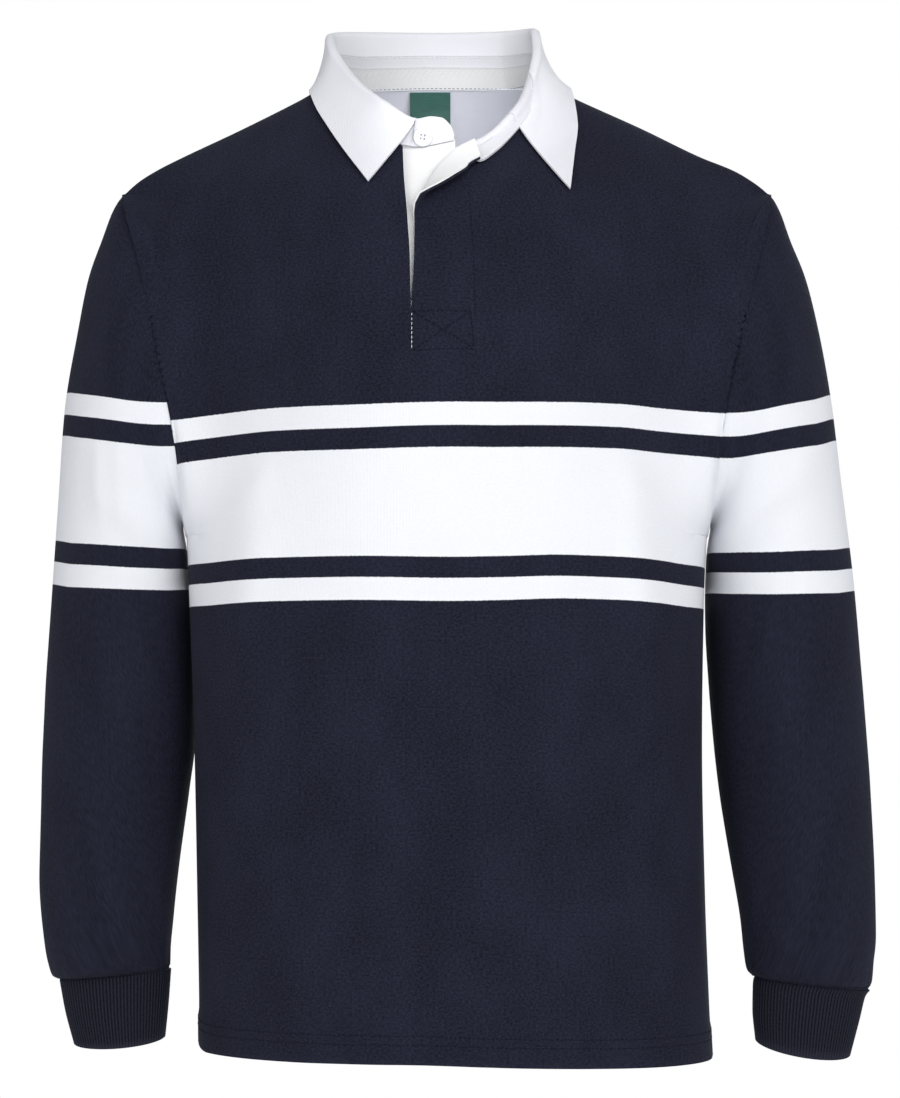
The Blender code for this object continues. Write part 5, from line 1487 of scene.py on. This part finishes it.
class ShirtCloth(bpy.types.PropertyGroup):
    """Colours and sewing of the shirt."""

    navy: tint("Navy", "Colour of the jersey", (0.0126, 0.0137, 0.0262))
    navy_worn: tint("Worn navy", "Colour of the jersey where seams and edges rub", (0.04, 0.043, 0.066))
    # Lighter and darker copies of this colour paint light on the ribs' crests and shade in their hollows.
    rib: tint("Rib", "Colour of the cuffs' rib", (0.0088, 0.0094, 0.0162))
    white: tint("White", "Colour of the hoops", (0.82, 0.83, 0.87))
    # The stand's colour is greyer than the collar's twill: painted shade of the collar's inside.
    twill: tint("Twill", "Colour of the collar", (0.745, 0.745, 0.79))
    band_painted_shade: tint("Band", "Colour of the collar's stand", (0.64, 0.64, 0.68))
    drill: tint("Drill", "Colour of the placket's facings", (0.80, 0.798, 0.80))
    pale: tint("Facing", "Colour of the half moon in the back neck", (0.84, 0.86, 0.97))
    cream: tint("Tape", "Colour of the neck tape", (0.70, 0.71, 0.72))
    green: tint("Label", "Colour of the bare label", (0.034, 0.118, 0.098))
    button: tint("Button", "Colour of the button", (0.80, 0.81, 0.85))
    wale_spacing: length("Wale spacing", "Between columns of knitted loops", 0.00105, min=0.0003, max=0.01)
    # The navy thread is darker than the jersey: partly its own colour, partly painted shade of the sunk rows
    # of stitches.
    thread_dark_groove_shade: amount("Thread darkness", "Colour of the navy thread against the jersey's", 0.6, min=0.0)
    stitch: length("Stitch", "Length of one topstitch", 0.0026, min=0.001, max=0.008)
    stitch_gap: length("Stitch gap", "Gap between two topstitches", 0.0008, min=0.0002, max=0.004)


class ShirtStage(bpy.types.PropertyGroup):
    """Camera, light and floor."""

    distance: length("Distance", "From the camera to the shirt's middle plane", 2.1, min=0.5)
    eye: length("Eye height", "Height of the camera over the shoulders", -0.467)
    middle: length("Middle height", "Height of the picture's middle, seen by a shifted lens", -0.3584)
    aside: length("Aside", "Camera's place to the side", 0.0023)
    seen: length("Seen length", "Longer side of the picture at the shirt's middle plane", 0.8455, min=0.1)
    floor: length("Floor", "Height of the floor", -1.55)
    floor_colour: tint("Floor colour", "Colour of the plain floor", (0.82, 0.82, 0.83))
    key: power("Key light", "Power of the large soft light", 50.0)
    fill: power("Fill light", "Power of the weaker light", 22.0)
    behind: power("Back light", "Power of the light behind", 40.0)
    neck: power("Neck light", "Power of the narrow light into the neck", 64.0)
    ambient: amount("Ambient", "Strength of the light from all round", 0.4, min=0.0)


# ---------------------------------------------------------------- operators, one for each group of pieces

MADE = {}  # patches of each cloth piece, for the sewing that follows them
GREY_SHARE = 0.2  # the grey thread's colour against the half moon's
SKY, WHITE = (0.96, 0.98, 1.0, 1), (1, 1, 1, 1)  # what lights the shirt all round, and what the camera sees


def dressed(name, patches, finish, slot, flat, area=None, held="hung", rests_on=()):
    """A cloth piece that stands for its solid, whose solid is hidden; its patches are kept for the sewing.
    """
    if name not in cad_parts:
        raise RuntimeError(f"the frame holds no {name}")
    piece = cloth(name + "_cloth", patches, finish)
    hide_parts(name)
    MADE[name] = patches
    return piece


class SHIRT_OT_body(bpy.types.Operator):
    """Front and back panels of hooped jersey"""

    bl_idname = "shirt.body"
    bl_label = "Body Panels"

    def execute(self, context):
        knit = jersey("hooped_jersey", context.scene.shirt_cloth)
        for which in ("front", "back"):
            patches = [body_patch(side, which) for side in ("right", "left")]
            if which == "front":
                patches.append(turned_patch())
            dressed("body_" + which, patches, knit, "navy_jersey", **CUTS["body_" + which])
        return {"FINISHED"}


class SHIRT_OT_sleeves(bpy.types.Operator):
    """Both sleeves of hooped jersey"""

    bl_idname = "shirt.sleeves"
    bl_label = "Sleeves"

    def execute(self, context):
        knit = bpy.data.materials["hooped_jersey"]
        for side in ("right", "left"):
            dressed("sleeve_" + side, [sleeve_patch(side)], knit, "navy_jersey", **CUTS["sleeve"])
        return {"FINISHED"}


class SHIRT_OT_cuffs(bpy.types.Operator):
    """Both ribbed cuffs"""

    bl_idname = "shirt.cuffs"
    bl_label = "Cuffs"

    def execute(self, context):
        rib = ribbed("cuff_rib_painted_shade", context.scene.shirt_cloth)
        for side in ("right", "left"):
            dressed("cuff_" + side, [cuff_patch(side)], rib, "navy_rib", **CUTS["cuff"])
        return {"FINISHED"}


class SHIRT_OT_collar(bpy.types.Operator):
    """Collar leaf and stand"""

    bl_idname = "shirt.collar"
    bl_label = "Collar"

    def execute(self, context):
        sizes = context.scene.shirt_cloth
        # The stand's twill takes the greyer colour, painted shade of the collar's inside.
        twill, band_painted_shade = woven("collar_twill", sizes.twill), woven("stand_twill_painted_shade", sizes.band_painted_shade, 0.0009)
        dressed("collar_stand", [stand_patch()], band_painted_shade, "white_band", **CUTS["collar_stand"])
        dressed("collar_leaf", [leaf_patch()], twill, "white_twill", **CUTS["collar_leaf"])
        return {"FINISHED"}


class SHIRT_OT_neck(bpy.types.Operator):
    """Neck tape, half moon and bare label inside the back neck"""

    bl_idname = "shirt.neck"
    bl_label = "Inside the Neck"

    def execute(self, context):
        sizes = context.scene.shirt_cloth
        pale = woven("half_moon_twill", sizes.pale)
        dressed("half_moon", [half_moon_patch()], pale, "pale_facing", **CUTS["half_moon"])
        tape = herringbone("herringbone_tape", sizes.cream)
        dressed("neck_tape", [tape_patch()], tape, "cream_tape", **CUTS["neck_tape"])
        dressed("label", [label_patch()], satin("label_satin", sizes.green), "green_satin", **CUTS["label"])
        return {"FINISHED"}


class SHIRT_OT_placket(bpy.types.Operator):
    """Under layer and turned facing of the neck opening"""

    bl_idname = "shirt.placket"
    bl_label = "Placket"

    def execute(self, context):
        drill = woven("facing_drill", context.scene.shirt_cloth.drill, 0.001)
        dressed("placket_underlap", [underlap_patch()], drill, "placket_drill", **CUTS["placket_underlap"])
        dressed("placket_facing", [facing_patch()], drill, "placket_drill", **CUTS["placket_facing"])
        return {"FINISHED"}


class SHIRT_OT_button(bpy.types.Operator):
    """Four-hole button and its thread"""

    bl_idname = "shirt.button"
    bl_label = "Button"

    def execute(self, context):
        sizes = context.scene.shirt_cloth
        disc, tie = button_parts(resin("button_resin", sizes.button), thread("white_thread", sizes.twill))
        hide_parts("button")
        return {"FINISHED"}


class SHIRT_OT_sewing(bpy.types.Operator):
    """Topstitching of hem, seams, collar, tape and placket"""

    bl_idname = "shirt.sewing"
    bl_label = "Sewing"

    def execute(self, context):
        sizes = context.scene.shirt_cloth
        # Darker than the jersey: partly the thread's colour, partly painted shade of the sunk stitch rows.
        navy = thread("navy_thread", [sizes.thread_dark_groove_shade * v for v in sizes.navy])
        white = bpy.data.materials["white_thread"]
        grey = thread("grey_thread", [GREY_SHARE * v for v in sizes.pale])
        shape = {"length": sizes.stitch / MM, "gap": sizes.stitch_gap / MM}
        for name, lines, finish, slot in (
            ("body_stitches", body_lines(), navy, "navy_jersey"),
            ("collar_stitches", collar_lines(), white, "white_twill"),
            ("placket_dashes", placket_dashes(), white, "white_twill"),
            ("neck_stitches", neck_lines(), grey, "pale_facing"),
        ):
            if not lines:
                raise RuntimeError(f"{name} has no lines to sew")
            sewing = [stitch for line, normals in lines for stitch in stitched(line, normals, **shape)]
            piece = threads(name, sewing, finish)
        return {"FINISHED"}


class SHIRT_OT_stage(bpy.types.Operator):
    """Floor, soft light and camera"""

    bl_idname = "shirt.stage"
    bl_label = "Stage"

    def execute(self, context):
        sizes = context.scene.shirt_stage
        size = {"x_subdivisions": 8, "y_subdivisions": 8, "size": 6.0}
        bpy.ops.mesh.primitive_grid_add(**size, location=(0, 0, sizes.floor))
        floor = context.object
        floor.name = "floor"
        paint = Finish("floor_paint", 0.75)
        dark, pale = (colour(sizes.floor_colour, times) for times in (0.97, 1.02))
        floor.data.materials.append(paint.finish(paint.mixed(paint.clouds(3.0), dark, pale)))
        light("key_light", (1.1, -2.4, 0.45), 2.0, sizes.key)
        light("fill_light", (-1.7, -2.0, 0.1), 2.0, sizes.fill)
        light("back_light", (0.4, 2.6, 0.6), 2.0, sizes.behind)
        spot = light("neck_light", (-0.03, -1.7, 0.08), 0.04, sizes.neck, "SPOT", (0.012, 0.08, -0.035))
        spot.spot_size, spot.spot_blend = math.radians(5.8), 1.0
        world = context.scene.world or bpy.data.worlds.new("World")
        context.scene.world = world
        world.use_nodes = True
        tree = world.node_tree
        tree.nodes.clear()
        kinds = ("LightPath", "Background", "Background", "MixShader", "OutputWorld")
        path, around, seen, choose, out = (tree.nodes.new("ShaderNode" + kind) for kind in kinds)
        for node, tint_of, strength in ((around, SKY, sizes.ambient), (seen, WHITE, 1.0)):
            node.inputs["Color"].default_value = tint_of
            node.inputs["Strength"].default_value = strength
        for k, output in enumerate((path.outputs["Is Camera Ray"], around.outputs[0], seen.outputs[0])):
            tree.links.new(output, choose.inputs[k])
        tree.links.new(choose.outputs[0], out.inputs[0])
        lens = bpy.data.cameras.new("camera")
        lens.lens = lens.sensor_width * sizes.distance / sizes.seen
        lens.shift_y = (sizes.middle - sizes.eye) / sizes.seen
        camera = bpy.data.objects.new("camera", lens)
        camera.location = (sizes.aside, -sizes.distance, sizes.eye)
        camera.rotation_euler = (math.pi / 2, 0, 0)
        context.scene.collection.objects.link(camera)
        context.scene.camera = camera
        context.scene.view_settings.view_transform = "Standard"
        return {"FINISHED"}


def light(name, place, size, power, kind="AREA", target=(0, 0, -0.35)):
    """A soft light of that size that faces the chest, or another target."""
    lamp = bpy.data.lights.new(name, kind)
    lamp.energy = power
    if kind == "AREA":
        lamp.size = size
    else:
        lamp.shadow_soft_size = size
    thing = bpy.data.objects.new(name, lamp)
    thing.visible_camera = False
    thing.location = place
    thing.rotation_euler = (Vector(target) - Vector(place)).to_track_quat("-Z", "Y").to_euler()
    bpy.context.scene.collection.objects.link(thing)
    return lamp


class SHIRT_PT_panel(bpy.types.Panel):
    """Lists what the shirt is made of"""

    bl_idname = "SHIRT_PT_panel"
    bl_label = "Rugby Shirt"
    bl_space_type = "VIEW_3D"
    bl_region_type = "UI"
    bl_category = "Shirt"

    def draw(self, context):
        for group in (context.scene.shirt_cloth, context.scene.shirt_stage):
            box = self.layout.box()
            for key in group.__annotations__:
                box.prop(group, key)
        for operator in OPERATORS:
            self.layout.operator(operator.bl_idname)


OPERATORS = (
    SHIRT_OT_body,
    SHIRT_OT_sleeves,
    SHIRT_OT_cuffs,
    SHIRT_OT_collar,
    SHIRT_OT_neck,
    SHIRT_OT_placket,
    SHIRT_OT_button,
    SHIRT_OT_sewing,
    SHIRT_OT_stage,
)
CLASSES = (ShirtCloth, ShirtStage, *OPERATORS, SHIRT_PT_panel)


def register():
    for kind in CLASSES:
        bpy.utils.register_class(kind)
    bpy.types.Scene.shirt_cloth = bpy.props.PointerProperty(type=ShirtCloth)
    bpy.types.Scene.shirt_stage = bpy.props.PointerProperty(type=ShirtStage)


def unregister():
    del bpy.types.Scene.shirt_stage
    del bpy.types.Scene.shirt_cloth
    for kind in reversed(CLASSES):
        bpy.utils.unregister_class(kind)


def main():
    register()
    for operator in OPERATORS:
        group, name = operator.bl_idname.split(".")
        getattr(getattr(bpy.ops, group), name)()


if __name__ == "__main__":
    main()
